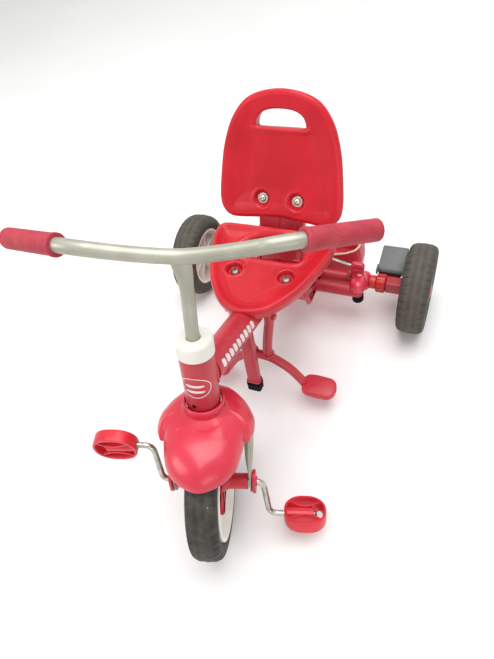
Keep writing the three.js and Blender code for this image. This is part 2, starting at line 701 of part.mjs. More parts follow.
function seatShape() {
  const centre = point(0, seat.middle, 0);
  const outline = mirrored([
    [0, seat.front], [37, 228], [62, 254], [82, 287], [99, 335], [seat.halfWidth, 377],
    [101, 402], [60, seat.rear], [0, seat.rear],
  ], seat.segments);
  const inset = seat.wall / seat.halfWidth;
  const top = [[0.66, 0], [0.85, 0.5], [0.94, 1], [0.98, 0.85], [1, 0.2]];
  // Level 0 is the pan floor and level 1 the crest, which rises towards the back.
  const height = (place, level) => {
    const back = (place.y - seat.front) / (seat.rear - seat.front);
    return seat.floor + level * (seat.crest + seat.rise * back - seat.floor);
  };
  const below = (place, level) => height(place, level) - seat.wall;
  const rows = [
    ...shellRows(outline, centre, top, height),
    ...shellRows(outline, centre, [[seat.draft, 0], [seat.draft - inset, 0]], () => seatSkirt),
    ...shellRows(outline, centre, top.slice().reverse().map(([share, level]) =>
      [Math.min(share, 1 - inset), level]), below),
  ];
  const [x, y] = [seatBolt.half, seatBolt.depth];
  const plateTop = seatBracket.top + gap;
  const cupBottom = seatBolt.recessFloor - seatBolt.wall;
  const bosses = [-x, x].flatMap((place) => [
    rod(seatBolt.recess + seatBolt.wall, cupBottom, seat.floor - 0.5).translate(place, y, 0),
    rod(seatBolt.neck, plateTop, cupBottom + 1, 'z', smallSides).translate(place, y, 0),
  ]);
  const recesses = [-x, x].flatMap((place) => [
    rod(seatBolt.recess, seatBolt.recessFloor, seat.crest + 20).translate(place, y, 0),
    rod(seatBolt.shank + gap, seatSkirt - 20, seat.crest, 'z', smallSides).translate(place, y, 0),
  ]);
  return cut(join(skin(rows), ...bosses), ...recesses, seatSlotShape(),
    alongTube(mainTube.radius + gap));
}

// The slot behind the middle of the seat: straight in front, bowed behind.
function seatSlotShape() {
  const { front, rear, halfWidth, corner } = seatSlot;
  const turn = front + corner;
  const shape = new THREE.Shape();
  shape.moveTo(corner - halfWidth, front);
  shape.lineTo(halfWidth - corner, front);
  shape.absarc(halfWidth - corner, turn, corner, -Math.PI / 2, 0);
  shape.bezierCurveTo(halfWidth, turn + 18, halfWidth / 2, rear, 0, rear);
  shape.bezierCurveTo(-halfWidth / 2, rear, -halfWidth, turn + 18, -halfWidth, turn);
  shape.absarc(corner - halfWidth, turn, corner, Math.PI, 1.5 * Math.PI);
  return flatPlate(shape, seatSkirt, seat.crest + 20, 4);
}

// A round-headed bolt with a socket, its head sitting at height zero and its shank below.
function boltShape(bolt, length, washer = 0, washerHeight = 0) {
  const top = washerHeight + bolt.headHeight;
  const socket = [[0, top - 2], [bolt.socket, top - 2], [bolt.socket, top]];
  const head = [[0.7 * bolt.head, top], [bolt.head, washerHeight + 0.4 * bolt.headHeight],
    [bolt.head, washerHeight]];
  const rim = washer > 0 ? [[washer, washerHeight], [washer, 0]] : [];
  return turned([...socket, ...head, ...rim, [bolt.shank, 0], [bolt.shank, -length], [0, -length]],
    'z', smallSides);
}

// A pressed plate on a saddle that is shaped to the tube, with two tabs behind.
function seatBracketShape() {
  const { halfWidth, front, rear, top, plate, saddleHalf } = seatBracket;
  const underside = top - plate;
  const saddle = block([-saddleHalf, front, tubeHeight(front) - 5],
    [saddleHalf, rear, underside + 1]);
  const tabs = [-1, 1].map((side) => {
    const middle = side * seatBracket.tabHalf;
    const half = seatBracket.tabWidth / 2;
    const depth = rear - seatBracket.tabInset;
    return block([middle - half, depth, top - 1],
      [middle + half, depth + plate, top + seatBracket.tabRise]);
  });
  const body = join(block([-halfWidth, front, underside], [halfWidth, rear, top]), saddle,
    ...tabs);
  const holes = [-1, 1].map((side) => rod(seatBolt.shank + gap, underside - 5, top + 5, 'z', smallSides)
    .translate(side * seatBolt.half, seatBolt.depth, 0));
  const relief = sidePlate([[front - 5, 100], [rear + 5, 100],
    [rear + 5, tubeHeight(rear) - 8], [front - 5, tubeHeight(front) - 8]],
  -saddleHalf - 5, saddleHalf + 5);
  return cut(body, alongTube(mainTube.radius + gap), relief, ...holes);
}

piece('seat_pan', seatShape(), paints.seatPlastic, tricycle);
piece('seat_bracket', seatBracketShape(), paints.framePaint, tricycle);
for (const [side, name] of bothSides('seat_bolt')) {
  const length = seatBolt.recessFloor - seatBracket.top + seatBracket.plate + 3;
  const bolt = piece(name, boltShape(seatBolt, length), paints.brightSteel, tricycle);
  bolt.position.set(side * seatBolt.half, seatBolt.depth, seatBolt.recessFloor + gap);
}

// ---------------------------------------------------------------- backrest

// This group's Y runs up the backrest and its Z points out of the front face.
const backFrame = new THREE.Group();
backFrame.position.set(0, backrest.depth, backrest.height);
backFrame.rotation.x = Math.PI / 2 - backrest.lean;
tricycle.add(backFrame);

function backrestShape() {
  const centre = point(0, backrest.middle, 0);
  const outline = mirrored([
    [0, backrest.top], [52, 164], [82, 134], [99, 90], [107, 40], [backrest.halfWidth, -6],
    [106, -27], [88, backrest.bottom], [45, backrest.bottom + 3],
    [0, backrest.bottom + backrest.arch],
  ], backrest.segments);
  const inset = backrest.wall / backrest.halfWidth;
  const front = [[0.78, 0], [0.88, 2.2], [0.94, 3], [0.98, 1], [1, -5]];
  const level = (place, height) => height;
  const rows = [
    ...shellRows(outline, centre, front, level),
    ...shellRows(outline, centre, [[backrest.draft, -backrest.thickness],
      [backrest.draft - inset, -backrest.thickness]], level),
    ...shellRows(outline, centre, front.slice().reverse().map(([share, height]) =>
      [Math.min(share, 1 - inset), height - backrest.wall]), level),
  ];
  const floor = -backBolt.recessDepth;
  const cups = [-1, 1].map((side) => rod(backBolt.recess + 3, floor - backBolt.wall, -1)
    .translate(side * backBolt.half, 0, 0));
  const recesses = [-1, 1].flatMap((side) => [
    rod(backBolt.recess, floor, 20).translate(side * backBolt.half, 0, 0),
    rod(backBolt.shank + gap, -40, 20, 'z', smallSides).translate(side * backBolt.half, 0, 0),
  ]);
  const channel = block([-backBracket.halfWidth - gap, backrest.bottom - 20, -60],
    [backBracket.halfWidth + gap, backBracket.top, backPlane + gap]);
  return cut(join(skin(rows), ...cups), ...recesses, channel, handHoleShape());
}

// Straight below and arched above.
function handHoleShape() {
  const shape = new THREE.Shape();
  const { halfWidth, bottom, top } = handHole;
  shape.moveTo(-halfWidth, bottom);
  shape.lineTo(halfWidth, bottom);
  shape.bezierCurveTo(halfWidth, top - 4, halfWidth / 2, top, 0, top);
  shape.bezierCurveTo(-halfWidth / 2, top, -halfWidth, top - 4, -halfWidth, bottom);
  return flatPlate(shape, -2 * backrest.thickness, backrest.thickness, 5);
}

// Side outline of the rear cradle, as depth and height.
const cradleOutline = [[392, 217], [470, 188], [rearCradle.rear, 100], [507, 72], [472, 70],
  [408, 80], [392, 120]];

// The channel's front face stands just behind the floors of the bolt recesses.
const backPlane = -backBolt.recessDepth - backBolt.wall - gap;

function backBracketShape() {
  const { halfWidth, plate, side, flange, top, bottom } = backBracket;
  const back = backPlane - flange;
  const channel = cut(
    block([-halfWidth, bottom, back], [halfWidth, top, backPlane]),
    block([side - halfWidth, bottom - 1, back - 1], [halfWidth - side, top + 1,
      backPlane - plate]));
  const holes = [-1, 1].map((hand) => rod(backBolt.shank + gap, back, 5, 'z', smallSides)
    .translate(hand * backBolt.half, 0, 0));
  const intoGroup = new THREE.Matrix4().makeTranslation(...backFrame.position.toArray())
    .multiply(new THREE.Matrix4().makeRotationX(backFrame.rotation.x)).invert();
  const wide = 2 * rearCradle.halfWidth;
  const cradle = sidePlate(cradleOutline, -wide, wide).translate(0, 0, gap)
    .applyMatrix4(intoGroup);
  return cut(channel, cradle, ...holes);
}

piece('backrest', backrestShape(), paints.backPlastic, backFrame);
piece('backrest_bracket', backBracketShape(), paints.framePaint, backFrame);
for (const [side, name] of bothSides('backrest_bolt')) {
  const length = backBolt.wall + backBracket.plate + backBolt.end;
  const bolt = piece(name, boltShape(backBolt, length, backBolt.washer, backBolt.washerHeight),
    paints.brightSteel, backFrame);
  bolt.position.set(side * backBolt.half, 0, gap - backBolt.recessDepth);
}

// ---------------------------------------------------------------- rear frame

function acrossAxle(radius, half) {
  return rod(radius, -half, half, 'x').translate(0, axleDepth, axleHeight);
}

function sleeveOnAxle(radius, bore, from, to) {
  return pipe(radius, bore, from, to, 'x').translate(0, axleDepth, axleHeight);
}

const standDepth = axleDepth - standTube.ahead;

// The stand: a cross tube with an upright leg at each end, grown by a clearance where it cuts.
function standShape(grow = 0) {
  const { radius, height, legHalf, legRadius, legTop, foot } = standTube;
  const cross = rod(radius + grow, -legHalf, legHalf, 'x').translate(0, standDepth, height);
  const legs = [-legHalf, legHalf].map((x) =>
    rod(legRadius + grow, foot - grow, legTop + grow).translate(x, standDepth, 0));
  return join(cross, ...legs);
}

function cradleShape() {
  const { halfWidth, wall } = rearCradle;
  const [[front, crest], [bend, bendHeight], [rear, waist], [heel]] = cradleOutline;
  const below = axleHeight - 50;
  const inside = [[front + wall, crest - wall - 1], [bend - 1, bendHeight - wall],
    [rear - wall, waist], [heel - wall, below], [front + wall, below]];
  const channel = cut(sidePlate(cradleOutline, -halfWidth, halfWidth),
    sidePlate(inside, wall - halfWidth, halfWidth - wall));
  return cut(channel, alongTube(mainTube.radius + gap), acrossAxle(axleTube.radius + gap, 100),
    standShape(gap));
}

piece('rear_cradle', cradleShape(), paints.framePaint, tricycle);
piece('axle_tube', pipe(axleTube.radius, axleTube.bore, -axleTube.end, axleTube.end, 'x')
  .translate(0, axleDepth, axleHeight), paints.framePaint, tricycle);
piece('rear_stand', standShape(), paints.framePaint, tricycle);

const capTop = standTube.foot - gap - standCap.sole + standCap.height;
const capRadius = standTube.legRadius + gap + standCap.wall;

function standCapShape() {
  const bore = standTube.legRadius + gap;
  const floor = standTube.foot - gap;
  const bottom = floor - standCap.sole;
  const cup = turned([[0, floor], [bore, floor], [bore, capTop], [capRadius, capTop],
    [capRadius, bottom], [0, bottom]]);
  const cross = rod(standTube.radius + gap, -capRadius - 1, gap, 'x')
    .translate(0, 0, standTube.height);
  return cut(cup, cross);
}

for (const [side, name] of bothSides('stand_cap')) {
  const shape = standCapShape();
  if (side < 0) shape.scale(-1, 1, 1);
  piece(name, shape, paints.blackRubber, tricycle)
    .position.set(side * standTube.legHalf, standDepth, 0);
}

// A moulded clamp: one full body round the axle tube and the leg, with a slotted lug on top.
function clampShape() {
  const { inner, outer, radius } = clamp;
  const ring = rod(radius, inner, outer, 'x').translate(0, axleDepth, axleHeight);
  const leg = standTube.legHalf;
  const socketTop = standTube.legTop + clamp.socketRoof;
  const socket = rod(standTube.legRadius + gap + clamp.socketWall, clamp.socketBottom, socketTop)
    .translate(leg, standDepth, 0);
  const body = fromSolid(wasm.Manifold.hull([toSolid(ring), toSolid(socket)]));
  const capRoom = rod(capRadius + gap, 0, capTop + gap).translate(leg, standDepth, 0);
  const middle = (clamp.lugInner + clamp.lugOuter) / 2;
  const half = (clamp.lugOuter - clamp.lugInner) / 2;
  const lugTop = clamp.lugTop - half / 2;
  const lug = block([clamp.lugInner, clamp.lugDepth - clamp.lugThickness / 2, axleHeight],
    [clamp.lugOuter, clamp.lugDepth + clamp.lugThickness / 2, lugTop]);
  const crown = block([clamp.lugInner + half / 3, clamp.lugDepth - clamp.lugThickness / 2,
    lugTop - 1], [clamp.lugOuter - half / 3, clamp.lugDepth + clamp.lugThickness / 2,
    clamp.lugTop]);
  const slot = block([middle - clamp.slotLength / 2, clamp.lugDepth - 20,
    lugTop - clamp.slotHeight], [middle + clamp.slotLength / 2, clamp.lugDepth + 20, lugTop - 0.5]);
  return cut(join(body, lug, crown), acrossAxle(axleTube.radius + gap, 200), standShape(gap),
    capRoom, slot);
}

function mirroredPiece(name, build, side, material) {
  const geometry = build();
  if (side < 0) geometry.scale(-1, 1, 1);
  return piece(name, geometry, material, tricycle);
}

for (const [side, name] of bothSides('clamp')) {
  mirroredPiece(name, clampShape, side, paints.redPlastic);
}

const axleBore = rearAxle.radius + gap;

function axleBushShape() {
  return sleeveOnAxle(axleBush.radius, axleBore, axleTube.end + gap, axleBush.end);
}

const pinDepth = axleDepth + brakeCollar.radius + brakePedal.pinClear;
const pinHeight = axleHeight + brakePedal.pinRise;

// A collar on the axle with a lug behind it, which carries the brake pedal's pin.
function brakeCollarShape() {
  const { radius, end, lugInner, lugOuter } = brakeCollar;
  const collar = rod(radius, axleBush.end + gap, end, 'x').translate(0, axleDepth, axleHeight);
  const inside = axleDepth + 0.6 * radius;
  const [low, shelf] = [pinHeight - brakePedal.lugDrop, pinHeight + brakePedal.bottom - 2];
  const lug = sidePlate([[inside, low], [pinDepth + 5, low], [pinDepth + 5, pinHeight + 5],
    [pinDepth - 4.5, pinHeight + 5], [pinDepth - 4.5, shelf], [inside, shelf]],
  lugInner, lugOuter);
  const pin = rod(brakePedal.pinRadius, brakePedal.inner + gap, brakePedal.outer - gap, 'x',
    smallSides).translate(0, pinDepth, pinHeight);
  return cut(join(collar, lug, pin), acrossAxle(axleBore, 300));
}

function endSleeveShape() {
  const { half, corner, end } = endSleeve;
  const outline = roundedRectangle(half, half, corner).getPoints(1)
    .map(({ x, y }) => [axleDepth + x, axleHeight + y]);
  return cut(sidePlate(outline, brakeCollar.end + gap, end), acrossAxle(axleBore, 300));
}

for (const [name, build, material] of [
  ['axle_bush', axleBushShape, paints.redPlastic],
  ['brake_collar', brakeCollarShape, paints.redPlastic],
  ['end_sleeve', endSleeveShape, paints.framePaint],
]) {
  for (const [side, whole] of bothSides(name)) mirroredPiece(whole, build, side, material);
}

// The axle: a rod through everything, with a push-on flange outside each wheel.
function rearAxleShape() {
  const { radius, end, flange, flangeThickness } = rearAxle;
  const inner = halfTrack + rearRim.webOuter + runningGap;
  const half = [[radius, inner], [flange, inner], [flange, inner + flangeThickness],
    [radius, inner + flangeThickness], [radius, end], [0, end]];
  const mirror = half.slice().reverse().map(([size, along]) => [size, -along]);
  return turned([...mirror, ...half], 'x', smallSides).translate(0, axleDepth, axleHeight);
}

piece('rear_axle', rearAxleShape(), paints.brightSteel, tricycle);

// A bent rod from the side of the cradle down to the clamp's lug.
function stayRodShape() {
  const [start, end] = [rearCradle.halfWidth + gap, clamp.lugInner - gap];
  const { topDepth, topHeight, bend, footDrop } = stayRod;
  const footHeight = clamp.lugTop - footDrop;
  return tube(softened([
    point(start, topDepth, topHeight), point(start + bend, topDepth, topHeight),
    point(end - bend, clamp.lugDepth, footHeight), point(end, clamp.lugDepth, footHeight),
  ], 0.4 * bend), stayRod.radius, 0, 8);
}

for (const [side, name] of bothSides('stay_rod')) {
  mirroredPiece(name, stayRodShape, side, paints.brightSteel);
}

// ---------------------------------------------------------------- rear wheels

// A dished rim: a hub, a web towards the outer face and a barrel under the tyre.
function rearRimShape() {
  const bore = rearAxle.radius + runningGap;
  const { wall, web, webOuter, hubRadius, hubInner } = rearRim;
  const outer = rearTyre.bead - gap;
  const half = rearTyre.beadHalf;
  return turned([
    [bore, -hubInner], [hubRadius, -hubInner], [hubRadius, webOuter - web],
    [outer - wall - 4, webOuter - web], [outer - wall, -half], [outer, -half], [outer, half],
    [outer - wall, half], [outer - wall, webOuter], [bore, webOuter], [bore, -hubInner],
  ], 'x', rearTyre.segments);
}

function hubCapShape() {
  const base = rearRim.webOuter + gap;
  const top = base + hubCap.height;
  const inner = base + hubCap.wall;
  return turned([
    [0, inner], [hubCap.bore, inner], [hubCap.bore, base], [hubCap.radius, base],
    [hubCap.radius, inner], [0.84 * hubCap.radius, top - 2], [0.5 * hubCap.radius, top], [0, top],
  ], 'x', roundSides);
}

for (const [name, build, material] of [
  ['rear_tyre', () => tyreShape(rearTyre), paints.tyreRubber],
  ['rear_rim', rearRimShape, paints.whitePlastic],
  ['hub_cap', hubCapShape, paints.redPlastic],
]) {
  for (const [side, whole] of bothSides(name)) {
    mirroredPiece(whole, build, side, material)
      .position.set(side * halfTrack, axleDepth, axleHeight);
  }
}

// ---------------------------------------------------------------- brake pedals

// A tray, hollow below, that hangs on the pin behind the collar.
function brakePedalShape() {
  const { inner, outer, front, rear, frontTop, rearTop, bottom, wall, edge } = brakePedal;
  const { pinRadius, ear, earReach } = brakePedal;
  const cheek = 2.5 * pinRadius;
  const body = sidePlate([[front, bottom], [cheek, bottom - 2], [cheek + 8, frontTop - edge],
    [rear - 2, rearTop - edge], [rear, rearTop - 2], [rear - 2, rearTop], [front + 2, frontTop],
    [front, frontTop - 2]], inner, outer);
  const hollow = sidePlate([[front + wall, bottom - 10], [rear - wall, bottom - 10],
    [rear - wall, rearTop - wall - 0.5], [front + wall, frontTop - wall]],
  inner + wall, outer - wall);
  const flap = sidePlate([[front + 3, frontTop - 8], [front + 3, frontTop + 10],
    [front - 5, frontTop + 9], [earReach, frontTop + 1], [earReach + 3, frontTop - 1.5]],
  inner - ear, inner + 0.5);
  const pinHoles = rod(pinRadius + runningGap, inner - 10, outer + 10, 'x', smallSides);
  return cut(join(cut(body, hollow), flap), pinHoles);
}

for (const [side, name] of bothSides('brake_pedal')) {
  mirroredPiece(name, brakePedalShape, side, paints.greyPlastic)
    .position.set(0, pinDepth, pinHeight);
}

// ---------------------------------------------------------------- bag behind the seat

function bagShape() {
  const { halfWidth, depth, rimMiddle, rimCorner, bottom, wall } = bag;
  const front = rearCradle.rear + gap;
  const outline = angles(bag.segments).map((turn) => {
    const squared = (value) => Math.sign(value) * Math.abs(value) ** 0.5;
    return point(halfWidth * squared(Math.cos(turn)), (depth / 2) * squared(Math.sin(turn)), 0);
  });
  const ring = (inset, height) => outline.map(({ x, y }) => {
    const share = [1 - inset / halfWidth, 1 - (2 * inset) / depth];
    const rim = rimMiddle + (rimCorner - rimMiddle) * (x / halfWidth) ** 2;
    return point(x * share[0], y * share[1] + front + depth / 2, Math.min(height, rim));
  });
  return skin([ring(22, bottom), ring(8, bottom), ring(1, bottom + 9), ring(0, bottom + 24),
    ring(0, rimCorner), ring(wall, rimCorner), ring(wall, bottom + 24 + wall),
    ring(1 + wall, bottom + 9 + wall), ring(8 + wall, bottom + wall), ring(24, bottom + wall)]);
}

piece('bag', bagShape(), paints.bagVinyl, tricycle);

// ---------------------------------------------------------------- front post and footrest

// This group's Z runs up the post.
const postFrame = new THREE.Group();
postFrame.position.set(0, post.topDepth, post.topHeight);
postFrame.rotation.x = -post.lean;
tricycle.add(postFrame);

// The footrest hangs from a pin through the main tube, which is this group's X axis.
const footrestFrame = new THREE.Group();
footrestFrame.position.copy(tubePoint(footrest.depth));
tricycle.add(footrestFrame);

function postShape() {
  const { halfWidth, halfDepth, corner, wall, drop } = post;
  const outer = flatPlate(roundedRectangle(halfWidth, halfDepth, corner), postCap.sole + gap - drop,
    60, 1);
  const inner = flatPlate(roundedRectangle(halfWidth - wall, halfDepth - wall, corner - wall), -drop,
    70, 1);
  const inGroup = new THREE.Matrix4().makeTranslation(...postFrame.position.toArray())
    .multiply(new THREE.Matrix4().makeRotationX(postFrame.rotation.x)).invert();
  const reach = 3 * mainTube.radius;
  const [from, to] = [post.topDepth - reach, post.topDepth + reach];
  const above = sidePlate([[from, tubeHeight(from)], [to, tubeHeight(to)],
    [to, tubeHeight(to) + 2 * reach], [from, tubeHeight(from) + reach]], -reach, reach)
    .applyMatrix4(inGroup);
  return cut(outer, inner, above, alongTube(mainTube.radius + gap).applyMatrix4(inGroup));
}

function postCapShape() {
  const { halfWidth, halfDepth, corner, drop } = post;
  const { wall, sole, height } = postCap;
  const size = [halfWidth + gap, halfDepth + gap];
  return cut(
    flatPlate(roundedRectangle(size[0] + wall, size[1] + wall, corner + wall), -drop,
      height - drop, 1),
    flatPlate(roundedRectangle(...size, corner), sole - drop, height - drop + 5, 1));
}

piece('footrest_post', postShape(), paints.framePaint, postFrame);
piece('post_cap', postCapShape(), paints.blackRubber, postFrame);

function footPadShape(grow = 0) {
  const { halfLength, halfWidth, halfThickness, rounding } = footPad;
  const layer = (inset, height) => roundedRectangle(halfLength - inset + grow,
    halfWidth - inset + grow, halfWidth - 6 - inset).getPoints(2)
    .map(({ x, y }) => point(x, y, height));
  const slope = 0.35 * rounding;
  const half = halfThickness + grow;
  return skin([layer(rounding, -half), layer(slope, slope - half), layer(0, rounding - half),
    layer(0, half - rounding), layer(slope, half - slope), layer(rounding, half)]);
}

// Two uprights beside the main tube, a crossbar, and an arm to each pad.
function footrestShape() {
  const { tube: radius, horn, straight, waistHalf, waist, crossbar } = footrest;
  const hang = mainTube.radius + runningGap + radius;
  const half = [[waistHalf + 2, -crossbar], [footrest.armHalf, -footrest.armDrop],
    [footrest.kneeHalf, -footrest.kneeDrop],
    [footPad.reach - footPad.halfLength + radius / 2, -footPad.drop]];
  const bar = tube(softened([
    ...half.slice().reverse().map(([x, z]) => point(-x, 0, z)),
    ...half.map(([x, z]) => point(x, 0, z)),
  ], 9, 2), radius);
  const uprights = [-1, 1].map((side) => tube(softened([
    point(side * hang, 0, horn), point(side * hang, 0, -straight),
    point(side * waistHalf, 0, -waist), point(side * waistHalf, 0, -crossbar),
  ], 8, 2), radius));
  const reach = hang + radius + footrest.pinHeadHeight;
  const pin = rod(footrest.pin, -reach, reach, 'x', smallSides);
  const heads = [-1, 1].map((side) => rod(footrest.pinHead, hang, reach, 'x', smallSides)
    .scale(side, 1, 1));
  const pads = [-1, 1].map((side) => footPadShape(gap)
    .translate(side * footPad.reach, 0, -footPad.drop));
  return cut(join(bar, ...uprights, pin, ...heads), ...pads);
}

piece('footrest_frame', footrestShape(), paints.framePaint, footrestFrame);
for (const [side, name] of bothSides('footrest_pad')) {
  piece(name, footPadShape(), paints.redPlastic, footrestFrame)
    .position.set(side * footPad.reach, 0, -footPad.drop);
}

// ---------------------------------------------------------------- placement

// The part's origin is the middle of its footprint, on the ground.
tricycle.updateMatrixWorld(true);
const extent = new THREE.Box3().setFromObject(tricycle, true);
const middle = extent.getCenter(new THREE.Vector3());
tricycle.position.set(-middle.x, -middle.y, -extent.min.z);

export default tricycle;
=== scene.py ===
# %% [markdown]
# # A child's pedal tricycle
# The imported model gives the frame: every piece's place, the joints and the bodies that move.
# This lesson dresses it. Each new piece is a surface worked out with numpy, in the same
# millimetres as the model's own drawing, and then put into place in metres. Sculpting by hand
# would give the same look once; a formula gives it every time, at any size.

# %% Load the frame
import json

import bpy
import numpy as np
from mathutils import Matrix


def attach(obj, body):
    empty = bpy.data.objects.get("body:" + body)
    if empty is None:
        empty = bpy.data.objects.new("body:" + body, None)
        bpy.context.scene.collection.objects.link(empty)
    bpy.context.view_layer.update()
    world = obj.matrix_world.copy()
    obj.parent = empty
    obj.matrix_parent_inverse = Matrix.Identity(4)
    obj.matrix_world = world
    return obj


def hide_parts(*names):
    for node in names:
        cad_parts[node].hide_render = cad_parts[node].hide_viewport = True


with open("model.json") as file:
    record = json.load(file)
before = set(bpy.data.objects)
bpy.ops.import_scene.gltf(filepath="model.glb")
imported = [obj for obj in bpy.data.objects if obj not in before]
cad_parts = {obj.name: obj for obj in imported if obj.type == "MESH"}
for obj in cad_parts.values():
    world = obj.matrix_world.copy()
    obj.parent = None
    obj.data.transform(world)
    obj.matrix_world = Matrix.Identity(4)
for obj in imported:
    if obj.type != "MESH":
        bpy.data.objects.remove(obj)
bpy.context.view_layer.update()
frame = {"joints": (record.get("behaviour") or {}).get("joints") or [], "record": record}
joints = {joint["name"]: joint for joint in frame["joints"]}
mounts = {mount["name"]: mount for mount in frame["record"]["mounts"]}

# %% [markdown]
# ## Places
# A tricycle is built on a few axes: the leaning steering axis, the two wheel axles, the plane
# of the backrest and the pin of the footrest. Each gets a small frame of its own: an origin in
# metres and three directions. A shape is drawn about a simple axis and then put into its frame.
# Reading the origins from the model's joints keeps the dressing and the solids together.

# %% Turning and placing
DEGREE = np.pi / 180


def turn_x(angle):
    """The rotation by an angle about X, as three rows."""
    c, s = np.cos(angle), np.sin(angle)
    return np.array([[1, 0, 0], [0, c, -s], [0, s, c]])


def turn_z(angle):
    """The rotation by an angle about Z, as three rows."""
    c, s = np.cos(angle), np.sin(angle)
    return np.array([[c, -s, 0], [s, c, 0], [0, 0, 1]])


def placed(points, place):
    """Each point in millimetres, turned by the frame's rows and added to its origin in metres."""
    origin, rows = place
    return np.asarray(points) @ rows.T * 0.001 + origin


def shifted(place, x=0, y=0, z=0, rows=np.eye(3)):
    """The same frame moved along its own directions, in millimetres, and turned in place."""
    origin, turn = place
    return origin + turn @ np.array([x, y, z]) * 0.001, turn @ rows


# %% The frames of this tricycle
WHEELBASE = 487.0
FRONT_RADIUS, REAR_RADIUS = 119.0, 89.5
HEAD_ANGLE = 15.4 * DEGREE
STEER_AT_REST = 18 * DEGREE
FORK_RAKE = 24.7
BACK_LEAN = 23.4 * DEGREE
POST_LEAN = 5.9 * DEGREE
BACK_DROP, POST_LENGTH = 68.0, 126.7

rear_hub = np.array(joints["rear_wheel_right_spin"]["pos_m"])
steer_at = np.array(joints["steering_turn"]["pos_m"])
LAYOUT = (np.array([0, rear_hub[1] - WHEELBASE / 1000, rear_hub[2] - REAR_RADIUS / 1000]),
          np.eye(3))
AXLE = (np.array([0, rear_hub[1], rear_hub[2]]), np.eye(3))
HEAD = (steer_at, turn_x(-HEAD_ANGLE))
STEER = shifted(HEAD, rows=turn_z(STEER_AT_REST))
HUB = shifted(STEER, y=-FORK_RAKE)
BACK = shifted((np.array(mounts["backrest_face"]["pos_m"]), turn_x(np.pi / 2 - BACK_LEAN)),
               y=-BACK_DROP)
POST = shifted((np.array(mounts["post_foot"]["pos_m"]), turn_x(-POST_LEAN)), z=POST_LENGTH)
FOOTREST = (np.array(joints["footrest_swing"]["pos_m"]), np.eye(3))
print("hub from the steering joint:", HUB[0])
print("hub from its own joint:", joints["front_wheel_spin"]["pos_m"])

# %% [markdown]
# ## Helpers for shapes
# A shape is a pair: its points and its faces. Most are a grid of points, one row after another,
# whose neighbours are joined by four-sided faces. Three small functions give nearly every
# shape here: a profile turned round an axis, a section carried along a path, and an outline
# repeated at several heights.

# %% Grids of points
def grid(points, loop=False, ring=True, caps=True):
    """Points in rows and columns; each face joins four neighbours. With ring the last column
    meets the first, with loop the last row meets the first, and caps close the end rows."""
    points = np.asarray(points, float)
    rows, cols = points.shape[:2]
    i = np.arange(rows if loop else rows - 1)[:, None]
    j = np.arange(cols if ring else cols - 1)[None, :]
    below, along = (i + 1) % rows, (j + 1) % cols
    quads = np.stack(np.broadcast_arrays(
        i * cols + j, i * cols + along, below * cols + along, below * cols + j), -1)
    faces = quads.reshape(-1, 4).tolist()
    if caps and ring and not loop:
        faces.append(list(range(cols))[::-1])
        faces.append(list(range((rows - 1) * cols, rows * cols)))
    return points.reshape(-1, 3), faces


def merged(*shapes):
    """Several shapes as one: points stacked, face numbers moved on by the points before them."""
    counts = np.cumsum([0] + [len(points) for points, _ in shapes])
    faces = [[int(corner + start) for corner in face]
             for (_, own), start in zip(shapes, counts) for face in own]
    return np.concatenate([points for points, _ in shapes]), faces


def flipped(shape):
    """The mirror image across the plane X = 0, with its faces turned to look outwards again."""
    points, faces = shape
    return points * [-1, 1, 1], [face[::-1] for face in faces]


def moved(shape, x=0, y=0, z=0, rows=np.eye(3)):
    """A shape turned and then shifted, in millimetres."""
    points, faces = shape
    return points @ rows.T + [x, y, z], faces


# %% Corners, curves and arcs
def rounded(points, reach, steps=6, loop=False):
    """A chain with eased corners: each corner becomes the parabola that leaves the line
    `reach` before it and meets the next line `reach` after it."""
    points = np.asarray(points, float)
    reach = np.broadcast_to(np.asarray(reach, float), len(points))[:, None]
    back, on = np.roll(points, 1, 0) - points, np.roll(points, -1, 0) - points
    far = [np.linalg.norm(side, axis=1, keepdims=True) + 1e-9 for side in (back, on)]
    start = points + back * np.minimum(reach / far[0], 0.49)
    end = points + on * np.minimum(reach / far[1], 0.49)
    t = np.linspace(0, 1, steps + 1)[None, :, None]
    arcs = ((1 - t) ** 2 * start[:, None] + 2 * t * (1 - t) * points[:, None]
            + t ** 2 * end[:, None])
    if loop:
        return arcs.reshape(-1, points.shape[1])
    return np.concatenate([points[:1], arcs[1:-1].reshape(-1, points.shape[1]), points[-1:]])


def resampled(points, count, loop=False):
    """The same chain cut into equal lengths: each coordinate read off against distance."""
    points = np.asarray(points, float)
    if loop:
        points = np.concatenate([points, points[:1]])
    run = np.concatenate([[0], np.cumsum(np.linalg.norm(np.diff(points, axis=0), axis=1))])
    at = np.linspace(0, run[-1], count, endpoint=not loop)
    return np.stack([np.interp(at, run, column) for column in points.T], -1)


def flowing(points, count, loop=False):
    """A smooth curve through every point: on each span the cubic whose slopes at its ends are
    half the step between the neighbours, then cut into equal lengths."""
    points = np.asarray(points, float)
    ahead = np.roll(points, -1, 0)
    slope = (ahead - np.roll(points, 1, 0)) / 2
    if not loop:
        slope[0], slope[-1] = points[1] - points[0], points[-1] - points[-2]
    t = np.linspace(0, 1, 24, endpoint=False)[None, :, None]
    p, q, m, n = (v[:, None] for v in (points, ahead, slope, np.roll(slope, -1, 0)))
    spans = ((2 * t ** 3 - 3 * t ** 2 + 1) * p + (t ** 3 - 2 * t ** 2 + t) * m
             + (3 * t ** 2 - 2 * t ** 3) * q + (t ** 3 - t ** 2) * n)
    if loop:
        return resampled(spans.reshape(-1, points.shape[1]), count, True)
    chain = np.concatenate([spans[:-1].reshape(-1, points.shape[1]), points[-1:]])
    return resampled(chain, count)


def both_halves(half):
    """The right half of an outline, then the same points mirrored and run backwards."""
    half = np.asarray(half, float)
    mirror = half[half[:, 0] > 1e-6][::-1].copy()
    mirror[:, 0] *= -1
    return np.concatenate([half, mirror])


